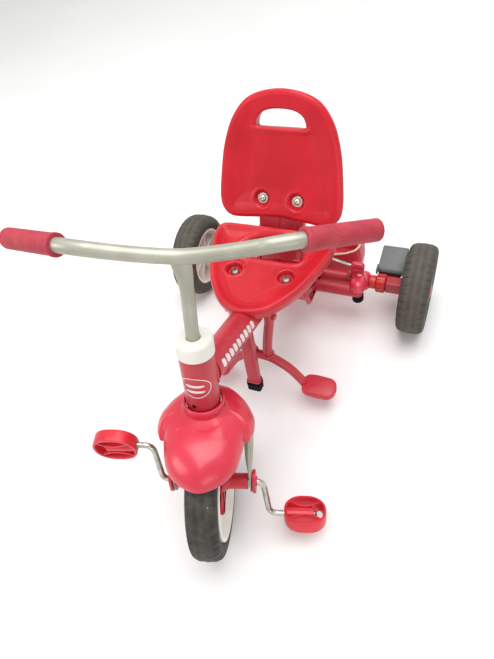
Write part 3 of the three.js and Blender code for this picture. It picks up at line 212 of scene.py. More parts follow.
def eased(value, low, high):
    """0 below low, 1 above high, and a smooth step between."""
    t = np.clip((value - low) / (high - low), 0, 1)
    return t * t * (3 - 2 * t)


# %% Turned shapes, carried shapes and stacked outlines
def turned(profile, sides=72, axis="z", loop=False):
    """A profile of (radius, along) pairs swept round: x = radius cos, y = radius sin."""
    profile = np.asarray(profile, float)
    angle = np.arange(sides) * 2 * np.pi / sides
    radius, along = profile[:, :1], profile[:, 1:] + 0 * angle
    a, b = radius * np.cos(angle), radius * np.sin(angle)
    points = np.stack([along, a, b] if axis == "x" else [a, b, along], -1)
    return grid(points, loop=loop, caps=not loop)


def circle(radius, sides=32):
    """A round section: radius times cosine and sine."""
    angle = np.arange(sides) * 2 * np.pi / sides
    return np.stack([radius * np.cos(angle), radius * np.sin(angle)], -1)


def carried(section, path, up=(0, 0, 1), caps=True, loop=False):
    """A section moved along a path. At each station the first section axis is the given up
    direction crossed with the path's direction, and the second is square to both."""
    path = np.asarray(path, float)
    if loop:
        along = np.roll(path, -1, 0) - np.roll(path, 1, 0)
    else:
        along = np.gradient(path, axis=0)
    along /= np.linalg.norm(along, axis=1, keepdims=True)
    side = np.cross(np.broadcast_to(np.asarray(up, float), path.shape), along)
    side /= np.linalg.norm(side, axis=1, keepdims=True)
    rise = np.cross(along, side)
    section = np.broadcast_to(section, (len(path),) + np.shape(section)[-2:])
    points = (path[:, None] + section[..., :1] * side[:, None] + section[..., 1:] * rise[:, None])
    return grid(points, loop=loop, caps=caps)


def stacked(layers, loop=False):
    """Outlines of equal length, one above another, each a pair: flat points and a height."""
    rows = [np.concatenate([flat, np.full((len(flat), 1), float(height))], 1)
            for flat, height in layers]
    return grid(np.stack(rows), loop=loop)


def inset(outline, distance):
    """A flat closed outline moved inwards: each point goes along the normal of its neighbours."""
    ahead = np.roll(outline, -1, 0)
    along = ahead - np.roll(outline, 1, 0)
    along /= np.linalg.norm(along, axis=1, keepdims=True)
    normal = np.stack([-along[:, 1], along[:, 0]], -1)
    area = np.sum(outline[:, 0] * ahead[:, 1] - ahead[:, 0] * outline[:, 1])
    return outline + normal * distance * np.sign(area)


def slab(outline, low, high, edge=1.0, steps=3):
    """A flat plate with rounded edges: the outline repeated on a quarter circle at each face."""
    t = np.linspace(0, np.pi / 2, steps + 1)
    rims = [(inset(outline, edge * (1 - np.sin(a))), edge * (1 - np.cos(a))) for a in t]
    return stacked([(rim, low + rise) for rim, rise in rims]
                   + [(rim, high - rise) for rim, rise in rims[::-1]])


def on_side(shape):
    """A shape drawn flat in (depth, height) and thick along its own Z, stood up across X."""
    points, faces = shape
    return points[:, [2, 0, 1]], faces


def oblong(half_length, half_width, corner, steps=6):
    """A rectangle with round corners, as a closed chain."""
    t = np.linspace(0, np.pi / 2, steps + 1)
    arc = np.stack([np.cos(t), np.sin(t)], -1) * corner
    core = np.array([half_length - corner, half_width - corner])
    quarters = [arc + core, arc[::-1] * [-1, 1] + core * [-1, 1],
                arc * [-1, -1] - core, arc[::-1] * [1, -1] + core * [1, -1]]
    return np.concatenate(quarters)

# %% [markdown]
# ## Making a piece
# Every piece goes through one function: its points become a mesh in metres at the origin,
# doubled points are joined so that seams and poles close, and its faces are turned outwards.
# Edges sharper than a set angle stay crisp and the rest are shaded smooth. The piece is then
# told which body carries it, which solids it stands for, and which finish it has.

# %% A mesh from a shape
import bmesh

made = {"pieces": 0, "triangles": 0}


def mesh_piece(name, shape, place, sharp=38, close=True):
    """One object whose mesh holds the shape in its place."""
    points, faces = shape
    mesh = bpy.data.meshes.new(name)
    mesh.from_pydata(placed(points, place).tolist(), [], faces)
    form = bmesh.new()
    form.from_mesh(mesh)
    bmesh.ops.remove_doubles(form, verts=form.verts, dist=2e-6)
    bmesh.ops.dissolve_degenerate(form, edges=form.edges, dist=1e-6)
    if close:
        bmesh.ops.recalc_face_normals(form, faces=form.faces)
    form.to_mesh(mesh)
    form.free()
    mesh.shade_smooth()
    mesh.set_sharp_from_angle(angle=sharp * DEGREE)
    piece = bpy.data.objects.new(name, mesh)
    bpy.context.scene.collection.objects.link(piece)
    return piece


def finished(piece, body, material, hides=()):
    """The piece gets its material, rides on its body and stands for the solids it hides."""
    piece.data.materials.append(material)
    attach(piece, body)
    if hides:
        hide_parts(*([hides] if isinstance(hides, str) else hides))
    made["pieces"] += 1
    made["triangles"] += sum(len(face.vertices) - 2 for face in piece.data.polygons)
    return piece


def dressed(name, shape, place, body, material, hides=(), sharp=38):
    """A shape put in its place, made a mesh and finished."""
    return finished(mesh_piece(name, shape, place, sharp), body, material, hides)


def handed(shape, hand):
    """The shape as drawn, for the right side, or its mirror image for the left."""
    return shape if hand > 0 else flipped(shape)


def walled(piece, thickness, offset=-1):
    """A wall of even thickness grown to the inside of an open skin."""
    wall = piece.modifiers.new("wall", "SOLIDIFY")
    wall.thickness, wall.offset = thickness / 1000, offset
    return piece


SIDES = {"left": -1, "right": 1}

# %% [markdown]
# ## Finishes
# Real finishes are never one flat colour. Powder-coated steel has a fine orange-peel skin,
# moulded plastic carries dust and rub marks, and rubber is dull where it is touched. Each
# material below is named for the real one and built from the same few ideas: a base colour in
# sRGB hex, noise patches of known size for its variation, a fine bump, and marks of wear.
# One function adds a node with its settings and links.

# %% Colour and nodes
def linear(hex_colour):
    """sRGB hex to linear light: below 0.04045 divide by 12.92, above it the 2.4 power curve."""
    value = np.array([int(hex_colour[i:i + 2], 16) for i in (1, 3, 5)]) / 255
    light = np.where(value <= 0.04045, value / 12.92, ((value + 0.055) / 1.055) ** 2.4)
    return (*light.tolist(), 1.0)


def add(tree, kind, settings):
    """A node: each setting is an input's name or number, or else one of the node's own values.
    A setting that is a socket is linked, and anything else is set."""
    node = tree.nodes.new(kind)
    for key, value in settings.items():
        known = isinstance(key, int) or key in node.inputs
        if not known:
            setattr(node, key, value)
        elif isinstance(value, bpy.types.NodeSocket):
            tree.links.new(value, node.inputs[key])
        else:
            node.inputs[key].default_value = value
    return node


def new_material(name):
    """An empty material with its Principled shader, the shader's output and Object coordinates
    in metres."""
    material = bpy.data.materials.new(name)
    material.use_nodes = True
    tree = material.node_tree
    tree.nodes.clear()
    shader = add(tree, "ShaderNodeBsdfPrincipled", {})
    add(tree, "ShaderNodeOutputMaterial", {"Surface": shader.outputs[0]})
    where = add(tree, "ShaderNodeTexCoord", {}).outputs["Object"]
    return material, tree, shader, where


# A pattern's scale is how many of its cells fit in a metre: 1000 divided by its size in mm.
def patches(tree, where, size, detail=3.0, low=0.35, high=0.65):
    """Soft patches of the given size in millimetres, as a value from 0 to 1."""
    noise = add(tree, "ShaderNodeTexNoise", {"Vector": where, "Scale": 1000 / size,
                                             "Detail": detail})
    return add(tree, "ShaderNodeMapRange", {"Value": noise.outputs[0], "From Min": low,
                                            "From Max": high}).outputs[0]


def blended(tree, share, first, second):
    """Two colours mixed by a share; each is a hex colour or a socket."""
    colours = [linear(c) if isinstance(c, str) else c for c in (first, second)]
    return add(tree, "ShaderNodeMix", {"data_type": "RGBA", 0: share, 6: colours[0],
                                       7: colours[1]}).outputs[2]


def bumped(tree, shader, height, depth, after=None):
    """A bump of the given depth in millimetres, on top of another bump where one is given."""
    settings = {"Height": height, "Distance": depth / 1000, "Strength": 1.0}
    if after is not None:
        settings["Normal"] = after
    node = add(tree, "ShaderNodeBump", settings)
    tree.links.new(node.outputs[0], shader.inputs["Normal"])
    return node.outputs[0]


# %% Moulded and painted finishes
def coated(name, colour, shade, rough, dust="#D9C9C4", dust_share=0.10, metallic=0.0,
           peel=2.2, peel_depth=0.03, ior=1.5, coat=0.0, rub=None):
    """A smooth skin: broad patches move the colour towards a shade of it, fine grains of dust
    lie on it, the roughness follows the dust, and a faint orange peel bends the highlights."""
    material, tree, shader, where = new_material(name)
    broad = patches(tree, where, 60, 2.0)
    fine = patches(tree, where, 1.6, 4.0, 0.60, 0.80)
    cloud = patches(tree, where, 25, 3.0, 0.45, 0.75)
    base = blended(tree, broad, colour, shade)
    dusted = add(tree, "ShaderNodeMath", {"operation": "MULTIPLY", 0: fine, 1: cloud}).outputs[0]
    amount = add(tree, "ShaderNodeMath", {"operation": "MULTIPLY", 0: dusted,
                                          1: dust_share * 4}).outputs[0]
    base = blended(tree, amount, base, dust)
    if rub:
        streak = add(tree, "ShaderNodeMapping", {"Vector": where, "Scale": (1.0, 0.25, 1.0),
                                                 "Rotation": (0.4, 0.3, 0.7)}).outputs[0]
        marks = patches(tree, streak, 5, 5.0, 0.66, 0.74)
        base = blended(tree, add(tree, "ShaderNodeMath", {"operation": "MULTIPLY", 0: marks,
                                                          1: 0.35}).outputs[0], base, rub)
    tree.links.new(base, shader.inputs["Base Color"])
    gloss = add(tree, "ShaderNodeMapRange", {"Value": cloud, "To Min": rough,
                                             "To Max": min(rough + 0.12, 1.0)}).outputs[0]
    tree.links.new(gloss, shader.inputs["Roughness"])
    shader.inputs["Metallic"].default_value = metallic
    if metallic < 0.5:
        shader.inputs["IOR"].default_value = ior
    shader.inputs["Coat Weight"].default_value = coat
    shader.inputs["Coat Roughness"].default_value = 0.12
    bumped(tree, shader, patches(tree, where, peel, 2.0, 0.2, 0.8), peel_depth)
    return material


# Powder-coated steel tube: baked-on polyester, semi-gloss, with a fine orange peel.
frame_paint = coated("red powder-coated steel", "#C02F3D", "#AE2835", 0.30, rub="#D98C90")
# Silver lacquer on the bars and fork: fine flake under a thin coat, lightly scuffed.
silver_paint = coated("champagne lacquered steel", "#B0AFA0", "#9C9B8D", 0.40, metallic=0.45,
                      dust="#C9C8BE", rub="#C8C7BD", peel=1.2)
# Blow-moulded polyethylene of the seat and backrest: waxy, semi-gloss, slightly cloudy.
seat_plastic = coated("blow-moulded polyethylene, seat", "#C41E2B", "#B61924", 0.32,
                      peel=3.5, peel_depth=0.05, rub="#E4555C", dust_share=0.03, ior=1.42)
back_plastic = coated("blow-moulded polyethylene, backrest", "#C71A2A", "#B91523", 0.32,
                      peel=3.5, peel_depth=0.05, rub="#D64751", dust_share=0.02, ior=1.38)
# Injection-moulded gloss ABS of the front fender.
fender_plastic = coated("gloss moulded ABS", "#D42A42", "#C82039", 0.30, peel=4.0,
                        peel_depth=0.02, coat=0.25, rub="#EA6C7C", dust_share=0.05)
# Glass-filled nylon of the small fittings.
fitting_plastic = coated("moulded nylon, red", "#CB2438", "#B91D30", 0.28, peel=1.5)
clamp_plastic = coated("moulded nylon, clamps", "#DB3350", "#CD2744", 0.22, peel=1.5, coat=0.3)
ring_plastic = coated("moulded nylon, collars", "#CF2B2B", "#BE2225", 0.30, peel=1.5)
pedal_plastic = coated("moulded polypropylene, pedals", "#DE2B3C", "#CE2233", 0.30, peel=1.8)
pad_plastic = coated("moulded polypropylene, foot pads", "#CF3442", "#BE2A38", 0.38, peel=1.8,
                     rub="#DD7C80")
cap_plastic = coated("white moulded polyethylene", "#EDEBE4", "#E2DFD6", 0.36, dust="#9E9A90",
                     dust_share=0.16, rub="#B9B4AA")
rim_plastic = coated("cream moulded polypropylene", "#F8F6EE", "#EFECE2", 0.40, dust="#8F8676",
                     dust_share=0.12, rub="#BDB5A6")
grey_plastic = coated("mid grey moulded ABS", "#686C6C", "#5D6161", 0.42, dust="#B9B9B4")
# Black moulded rubber for the feet and caps; on the drain hole its black is painted shade of the
# hole's inside.
black_rubber_and_hole_shade = coated("black moulded rubber and painted hole shade", "#0D0C0F", "#131215", 0.62, dust="#4A4744",
                      dust_share=0.06, peel=1.0, ior=1.15)
# Dark grey for the front lip of each brake pedal: painted shade under the tray's front edge.
painted_shade_plastic = coated("dark grey moulding as painted shade", "#3D4042", "#313335", 0.45)
decal_film = coated("pale printed film", "#E9DFDD", "#DCCFCE", 0.32, rub="#C66A72")
print("finishes so far:", len(bpy.data.materials))

# %% Rubber, steel and vinyl
def tyre_rubber_finish(name, dark, pale):
    """Moulded EVA tyre: dark warm grey, rubbed lighter in bands that run round it, dusty in
    the shoulders, with a grain of about a millimetre. A few pale specks are stuck grit."""
    material, tree, shader, where = new_material(name)
    band = add(tree, "ShaderNodeAttribute", {"attribute_name": "worn"}).outputs["Fac"]
    grime = patches(tree, where, 14, 4.0, 0.35, 0.7)
    base = blended(tree, band, dark, pale)
    base = blended(tree, add(tree, "ShaderNodeMath", {"operation": "MULTIPLY", 0: grime, 1: 0.30}
                             ).outputs[0], base, "#6A6257")
    specks = add(tree, "ShaderNodeTexVoronoi", {"Vector": where, "Scale": 1000 / 26})
    speck = add(tree, "ShaderNodeMath", {"operation": "LESS_THAN", 0: specks.outputs["Distance"],
                                         1: 0.035}).outputs[0]
    base = blended(tree, speck, base, "#A39A84")
    tree.links.new(base, shader.inputs["Base Color"])
    shader.inputs["Roughness"].default_value = 0.72
    grain = patches(tree, where, 1.2, 4.0, 0.2, 0.8)
    bumped(tree, shader, grain, 0.12)
    return material


def grip_rubber_finish():
    """PVC grip: a soft red, paled by handling, with a leather-like grain 1.8 mm across."""
    material, tree, shader, where = new_material("moulded PVC grip")
    wear = patches(tree, where, 22, 4.0, 0.35, 0.7)
    dust = patches(tree, where, 1.0, 4.0, 0.52, 0.75)
    base = blended(tree, wear, "#A22033", "#B63444")
    base = blended(tree, add(tree, "ShaderNodeMath", {"operation": "MULTIPLY", 0: dust, 1: 0.25}
                             ).outputs[0], base, "#DE8D95")
    tree.links.new(base, shader.inputs["Base Color"])
    shader.inputs["Roughness"].default_value = 0.62
    cells = add(tree, "ShaderNodeTexVoronoi", {"Vector": where, "Scale": 1000 / 1.8,
                                               "feature": "DISTANCE_TO_EDGE"})
    height = add(tree, "ShaderNodeMapRange", {"Value": cells.outputs["Distance"],
                                              "From Max": 0.25}).outputs[0]
    bumped(tree, shader, height, 0.10)
    return material


def steel_finish(name, colour, rough, tarnish="#8B7F6C", tarnish_share=0.25):
    """Zinc-plated steel: a grey metal with broad dull patches and small brownish tarnish."""
    material, tree, shader, where = new_material(name)
    dull = patches(tree, where, 9, 4.0, 0.4, 0.7)
    spots = patches(tree, where, 2.5, 5.0, 0.60, 0.72)
    amount = add(tree, "ShaderNodeMath", {"operation": "MULTIPLY", 0: spots,
                                          1: tarnish_share}).outputs[0]
    tree.links.new(blended(tree, amount, blended(tree, dull, colour, "#9C998F"), tarnish),
                   shader.inputs["Base Color"])
    gloss = add(tree, "ShaderNodeMapRange", {"Value": dull, "To Min": rough,
                                             "To Max": rough + 0.15}).outputs[0]
    tree.links.new(gloss, shader.inputs["Roughness"])
    shader.inputs["Metallic"].default_value = 1.0
    bumped(tree, shader, patches(tree, where, 0.8, 3.0), 0.01)
    return material


def vinyl_finish(name, colour, shade, rough):
    """Coated cloth: a plain weave 1.2 mm across shows through the vinyl, with soft creases."""
    material, tree, shader, where = new_material(name)
    crease = patches(tree, where, 30, 3.0, 0.3, 0.7)
    tree.links.new(blended(tree, crease, colour, shade), shader.inputs["Base Color"])
    shader.inputs["Roughness"].default_value = rough
    weave = [add(tree, "ShaderNodeTexWave", {"Vector": where, "Scale": 1000 / 1.2 / 20,
                                             "bands_direction": way}).outputs["Fac"]
             for way in ("X", "Z")]
    cloth = add(tree, "ShaderNodeMath", {"operation": "MULTIPLY", 0: weave[0], 1: weave[1]}
                ).outputs[0]
    below = bumped(tree, shader, crease, 0.6)
    bumped(tree, shader, cloth, 0.08, after=below)
    return material


front_rubber = tyre_rubber_finish("moulded EVA tyre foam, front", "#1D1C18", "#2E2B24")
rear_rubber = tyre_rubber_finish("moulded EVA tyre foam, rear", "#3B3831", "#4F4A40")
grip_rubber = grip_rubber_finish()
bright_steel = steel_finish("zinc-plated steel", "#BDBBB3", 0.27, "#93897A", 0.12)
bolt_steel = steel_finish("stainless steel bolts", "#CFCBC0", 0.22)
worn_steel = steel_finish("dulled steel bolts", "#82786A", 0.40, "#5A4330", 0.7)
old_steel = steel_finish("weathered steel bolts", "#9A7F5F", 0.45, "#5A4330", 0.8)
bag_vinyl = vinyl_finish("red coated cloth", "#DF4458", "#D03549", 0.42)
piping_vinyl = vinyl_finish("cream piping", "#EBDCC0", "#DECBA8", 0.5)
print("finishes:", len(bpy.data.materials))

# %% [markdown]
# ## Camera, light and floor
# The camera looks down over the handlebar, close enough for the front to look large. A plain
# pale floor and big soft lamps light the object evenly, so a colour renders about as written.
# Only rays from the camera, mirrors and clear things see the white surround.

# %% Camera
from mathutils import Matrix, Vector


def camera_at(place, yaw, pitch, roll, lens, sensor=36.0):
    """A camera from its place in millimetres and three angles in radians: yaw turns the view
    about Z, pitch tips it down and roll turns the picture. The lens is in millimetres, and the
    sensor's size is that of its longer side."""
    forward = np.array([np.sin(yaw) * np.cos(pitch), np.cos(yaw) * np.cos(pitch), -np.sin(pitch)])
    right = np.array([np.cos(yaw), -np.sin(yaw), 0.0])
    up = np.cross(right, forward)
    across = np.cos(roll) * right + np.sin(roll) * up
    upward = -np.sin(roll) * right + np.cos(roll) * up
    data = bpy.data.cameras.new("view")
    data.lens, data.sensor_width, data.clip_start = lens, sensor, 0.01
    camera = bpy.data.objects.new("view", data)
    matrix = np.eye(4)
    matrix[:3, 0], matrix[:3, 1], matrix[:3, 2] = across, upward, -forward
    matrix[:3, 3] = placed(place, LAYOUT)
    camera.matrix_world = Matrix(matrix.tolist())
    bpy.context.scene.collection.objects.link(camera)
    bpy.context.scene.camera = camera
    return camera


view = camera_at([289.6, -222.6, 905.6], -0.574, 0.907, -0.269, lens=28.59788)
print("lens:", round(view.data.lens, 2), "mm")

# %% Light and floor
def soft_lamp(name, place, aim, size, watts):
    """A square area lamp at a place in metres, facing a point."""
    data = bpy.data.lights.new(name, "AREA")
    data.size, data.energy = size, watts
    lamp = bpy.data.objects.new(name, data)
    lamp.location = place
    lamp.rotation_euler = (Vector(aim) - Vector(place)).to_track_quat("-Z", "Y").to_euler()
    bpy.context.scene.collection.objects.link(lamp)
    return lamp


soft_lamp("ceiling", (0.2, 0.3, 2.6), (0, 0, 0.2), size=2.2, watts=62)
soft_lamp("window side", (-1.8, -1.6, 1.7), (0, 0, 0.25), size=1.2, watts=20)
soft_lamp("low front", (1.6, -1.9, 1.0), (0, -0.1, 0.2), size=1.0, watts=7)

bpy.context.scene.view_settings.view_transform = "Standard"
world = bpy.data.worlds.new("pale room")
world.use_nodes = True
bpy.context.scene.world = world
room = world.node_tree
room.nodes.clear()
rays = add(room, "ShaderNodeLightPath", {})
seen = add(room, "ShaderNodeMath", {"operation": "MAXIMUM", 0: rays.outputs["Is Camera Ray"],
                                    1: rays.outputs["Is Transmission Ray"]}).outputs[0]
mirror_share = add(room, "ShaderNodeMath", {"operation": "MULTIPLY", 1: 0.9,
                                            0: rays.outputs["Is Glossy Ray"]}).outputs[0]
bright = add(room, "ShaderNodeMath", {"operation": "MAXIMUM", 0: seen, 1: mirror_share}).outputs[0]
strength = add(room, "ShaderNodeMapRange", {"Value": bright, "To Min": 0.50, "To Max": 1.0})
glow = add(room, "ShaderNodeBackground", {"Color": (1.0, 1.0, 1.0, 1.0),
                                          "Strength": strength.outputs[0]})
add(room, "ShaderNodeOutputWorld", {"Surface": glow.outputs[0]})


def floor_finish():
    """Pale lino: nearly white, so that it meets the surround without an edge."""
    material, tree, shader, where = new_material("pale lino floor")
    tint = patches(tree, where, 400, 2.0)
    tree.links.new(blended(tree, tint, "#FBFBFA", "#F7F7F6"), shader.inputs["Base Color"])
    shader.inputs["Roughness"].default_value = 0.8
    shader.inputs["Specular IOR Level"].default_value = 0.1
    return material


FLOOR_HALF, FLOOR_DROP = 4000.0, 0.8
floor_corners = [[[x, y, -FLOOR_DROP] for y in (-FLOOR_HALF, FLOOR_HALF)]
                 for x in (-FLOOR_HALF, FLOOR_HALF)]
floor = mesh_piece("floor", grid(floor_corners, ring=False), (np.zeros(3), np.eye(3)), close=False)
floor.data.materials.append(floor_finish())
print("lamps:", len(bpy.data.lights))

# %% [markdown]
# ## Head tube, cap and bushes
# The head tube is a short thick steel tube that leans back. A white cap covers its top bush,
# and the main tube is welded to its back. A cylinder with a Bevel would serve for a plain tube.
# A turned profile suits all of them better: each corner has its own easing, so the rims catch
# light as moulded and machined edges do.

# %% Head tube and cap
HEAD_RADIUS, HEAD_BORE, HEAD_LOW, HEAD_HIGH = 24.5, 21.0, 152.0, 262.0
CAP_RIM, CAP_SEAT, CAP_TOP, STEM_BORE = 26.2, 264.7, 273.8, 9.6


def ring_profile(bore, radius, low, high, edge=1.0):
    """A closed section of a pipe: four corners, each eased by a parabola."""
    return rounded([[bore, low], [radius, low], [radius, high], [bore, high]], edge, 4, loop=True)


head_ring = ring_profile(HEAD_BORE, HEAD_RADIUS, HEAD_LOW, HEAD_HIGH, 1.2)
dressed("head_tube_skin", turned(head_ring, 96, loop=True), HEAD, "frame",
        frame_paint, "head_tube")
cap_corners = [[24.8, 249], [CAP_RIM, 249], [CAP_RIM, CAP_TOP], [STEM_BORE, CAP_TOP],
               [STEM_BORE, CAP_SEAT], [24.8, CAP_SEAT]]
cap = rounded(cap_corners, [0.4, 0.5, 5.5, 0.8, 0.4, 0.4], 8, loop=True)
dressed("head_cap_skin", turned(cap, 96, loop=True), HEAD, "frame", cap_plastic,
        "head_cap")


def bush_skin(sleeve_end, flange_from, flange_to):
    """A sleeve inside the tube with a flange outside it, as one closed section."""
    sleeve_radius, flange_radius = HEAD_BORE - 0.3, HEAD_RADIUS - 0.3
    return turned(rounded([[STEM_BORE, sleeve_end], [sleeve_radius, sleeve_end],
                           [sleeve_radius, flange_from], [flange_radius, flange_from],
                           [flange_radius, flange_to], [STEM_BORE, flange_to]],
                          0.4, 3, loop=True), 72, loop=True)


BUSH_ENDS = {"bush_upper": (247, 262.3, 264.3), "bush_lower": (167, 151.7, 144.4)}
for name, ends in BUSH_ENDS.items():
    dressed(name + "_skin", bush_skin(*ends), HEAD, "frame", grey_plastic, name)
print("head pieces:", made["pieces"])

# %% Main tube and its weld
TUBE_RADIUS, TUBE_BACK = 23.0, 446.0
TUBE_SLOPE = 20.8 * DEGREE
TUBE_PASS = np.array([0, 223.7, 250.5])
TUBE_RUN = np.array([0, np.cos(TUBE_SLOPE), -np.sin(TUBE_SLOPE)])


def tube_centre(depth):
    """The point of the main tube's middle line at a given depth from the front hub."""
    return TUBE_PASS + TUBE_RUN * (depth - TUBE_PASS[1]) / TUBE_RUN[1]


head_axis = HEAD[1][:, 2]
head_point = (HEAD[0] - LAYOUT[0]) * 1000
both_axes = np.stack([TUBE_RUN, -head_axis], 1)
meeting = np.linalg.lstsq(both_axes, head_point - TUBE_PASS, rcond=None)[0][0]
tube_start = TUBE_PASS + TUBE_RUN * (meeting + HEAD_BORE)
tube_end = tube_centre(TUBE_BACK)
main_skin = carried(circle(TUBE_RADIUS, 96), [tube_start, tube_start + TUBE_RUN, tube_end])
dressed("main_tube_skin", main_skin, LAYOUT, "frame", frame_paint, "main_tube")


def weld_path(radius, count=120):
    """Where a round tube of this radius leaves the head tube: lines along the tube, one for
    each angle round it, met with the head tube's cylinder by the quadratic formula."""
    angle = np.arange(count) * 2 * np.pi / count
    side, rise = np.array([1.0, 0, 0]), np.cross(TUBE_RUN, [1.0, 0, 0])
    start = (TUBE_PASS + TUBE_RUN * meeting + radius * np.cos(angle)[:, None] * side
             + radius * np.sin(angle)[:, None] * rise)
    offset = start - head_point
    flat = offset - (offset @ head_axis)[:, None] * head_axis
    run = TUBE_RUN - (TUBE_RUN @ head_axis) * head_axis
    a, b, c = run @ run, 2 * flat @ run, np.sum(flat ** 2, 1) - HEAD_RADIUS ** 2
    reach = (-b + np.sqrt(np.maximum(b ** 2 - 4 * a * c, 0))) / (2 * a)
    return start + reach[:, None] * TUBE_RUN


bead = carried(circle(2.4, 12), weld_path(TUBE_RADIUS), up=TUBE_RUN, loop=True, caps=False)
dressed("head_weld", bead, LAYOUT, "frame", frame_paint)
print("main tube runs from", tube_start.round(1), "to", tube_end.round(1))

# %% [markdown]
# ## Handlebar, stem and grips
# The bar is one steel tube bent in a long shallow curve, with its ends swept back. The stem is
# a thinner tube that is cranked back at its top, pressed flat and wrapped on to the bar. A curve
# object with a bevel could draw the bar, but not the pressed stem. Here both are rows of points
# along a smooth path, and on the stem the section itself changes as it goes.

# %% Handlebar
BAR_RADIUS, BAR_HEIGHT = 9.5, 393.9
GRIP_START, GRIP_MIDDLE, BAR_END = np.array([[141.7, -0.7, 18.7], [184, 23.9, 10.5],
                                             [226.2, 48.5, 2.3]])


def bar_path(count=220):
    """Between the bends the bar falls towards the middle as the 1.5 power of the distance from
    it; outside them it runs straight to its ends, and a smooth curve joins the three."""
    share = np.linspace(-1, 1, 17)
    curve = np.abs(share) ** 1.5
    middle = np.stack([126.4 * share, -9.6 * curve, 21.7 * curve], -1)
    outer = np.stack([GRIP_START, GRIP_MIDDLE, BAR_END])
    chain = np.concatenate([outer[::-1] * [-1, 1, 1], middle[1:-1], outer])
    return flowing(chain, count) + [0, 0, BAR_HEIGHT]


dressed("handlebar_skin", carried(circle(BAR_RADIUS, 40), bar_path()), STEER, "steering",
        silver_paint, "handlebar")

# %% Stem
STEM_RADIUS, STEM_FOOT, STEM_TOP = 9.0, 146.0, BAR_HEIGHT + 1


def stem_skin(rows=70, sides=48):
    """Round below and pressed to a flat oval at the bar: the half widths, the set-back and a
    shallow pressed dent at the front are smooth steps of the height."""
    height = np.concatenate([[STEM_FOOT], np.linspace(236, STEM_TOP, rows)])
    flat = eased(height, 338, 388)
    wide, deep = STEM_RADIUS + 4 * flat, STEM_RADIUS - 3 * flat
    set_back = 9 * eased(height, 286, 342) * (1 - eased(height, 352, 392))
    angle = np.arange(sides) * 2 * np.pi / sides
    dent = 3.4 * eased(height, 352, 380)[:, None] * np.clip(-np.sin(angle), 0, 1) ** 6
    x = wide[:, None] * np.cos(angle)
    y = set_back[:, None] + deep[:, None] * np.sin(angle) + dent
    return grid(np.stack([x, y, height[:, None] + 0 * x], -1))


dressed("stem_skin", stem_skin(), STEER, "steering", silver_paint, "stem")
print("bar is", round(float(np.ptp(bar_path()[:, 0])), 1), "mm across")

# %% Grips
GRIP_RADIUS, GRIP_LIP = 13.9, 14.7


def grip_skin(length):
    """A turned profile: a rounded lip at the inner end, a body with shallow grooves worn
    nearly smooth, and a domed outer end."""
    along = np.linspace(7.5, length - 5, 150)
    grooves = GRIP_RADIUS - 0.35 * (0.5 + 0.5 * np.cos(along * 2 * np.pi / 4.2)) ** 4
    lip = rounded([[BAR_RADIUS + 0.3, 0], [GRIP_LIP, 0], [GRIP_LIP, 6], [GRIP_RADIUS, 7.4]],
                  [0, 1.6, 2.2, 0], 6)
    end = rounded([[GRIP_RADIUS, length - 4.8], [GRIP_RADIUS, length], [0, length]],
                  [0, 3.4, 0], 8)
    profile = np.concatenate([lip, np.stack([grooves, along], -1), end])
    return turned(profile, 56)


bare_length = np.linalg.norm(BAR_END - GRIP_START)
grip_run = (BAR_END - GRIP_START) / bare_length
grip_length = bare_length + 4.3
for side, hand in SIDES.items():
    run = grip_run * [hand, 1, 1]
    across = np.cross([0, 0, 1.0], run)
    across /= np.linalg.norm(across)
    rows = np.stack([across, np.cross(run, across), run], 1)
    place = shifted(STEER, *(GRIP_START * [hand, 1, 1] + [0, 0, BAR_HEIGHT]), rows=rows)
    dressed("grip_skin_" + side, grip_skin(grip_length), place, "steering",
            grip_rubber, "grip_" + side)
print("grips are", round(float(grip_length), 1), "mm long")

# %% [markdown]
# ## Fork and its bearings
# The fork is a single flat-oval tube bent into an arch over the wheel, its legs pressed nearly
# flat where the axle passes. A moulded plate on each leg holds the crank. A circle carried along
# the arch would keep one thickness all the way. A chain of ovals does better: their width, depth
# and tilt change smoothly from the crown to the tips.

# %% Fork
FORK_HALF, FORK_CROWN, ARCH_FOOT = 60.5, 132.0, 92.0


def fork_skin(sides=40):
    """Ovals along half an arch and one leg, then their mirror image. In the arch the centre
    turns on an ellipse; down the leg the oval narrows with the square of the distance."""
    turn = np.linspace(0, np.pi / 2, 22)[:-1]
    share = turn / (np.pi / 2)
    down = np.linspace(0, 1, 24)
    x = np.concatenate([FORK_HALF * np.sin(turn), FORK_HALF + 0 * down, [FORK_HALF] * 3])
    z = np.concatenate([ARCH_FOOT + (FORK_CROWN - ARCH_FOOT) * np.cos(turn), ARCH_FOOT - 62 * down,
                        [4, -14, -21.5]])
    lean = 0.14 + 0.86 * eased(down, -0.1, 1)
    y = -FORK_RAKE * np.concatenate([0.14 * share, lean, [1, 1, 1]])
    tilt = np.concatenate([turn, np.full(27, np.pi / 2)])
    wide = np.concatenate([9 - 1.4 * share, 7.6 - 5.2 * down ** 2, [2.4, 2.4, 2.2]])
    swell = 3.4 * np.sin(np.pi * np.clip(down * 1.15 - 0.05, 0, 1))
    deep = np.concatenate([13 - 1.5 * share, 11.5 + 1.5 * down + swell, [13, 11, 5]])
    mirror = slice(None, 0, -1)
    x, tilt = np.r_[-x[mirror], x], np.r_[-tilt[mirror], tilt]
    z, y, wide, deep = (np.r_[v[mirror], v] for v in (z, y, wide, deep))
    angle = np.arange(sides) * 2 * np.pi / sides
    out = wide[:, None] * np.cos(angle)
    return grid(np.stack([x[:, None] + out * np.sin(tilt)[:, None],
                          y[:, None] + deep[:, None] * np.sin(angle),
                          z[:, None] + out * np.cos(tilt)[:, None]], -1))


dressed("fork_skin", fork_skin(), STEER, "steering", silver_paint, "fork")


def stadium(half_height, radius, steps=10):
    """An upright oblong with half-circle ends, as (depth, height) points."""
    t = np.linspace(0, np.pi, steps)
    top = np.stack([radius * np.cos(t), half_height - radius + radius * np.sin(t)], -1)
    return np.concatenate([top, -top])


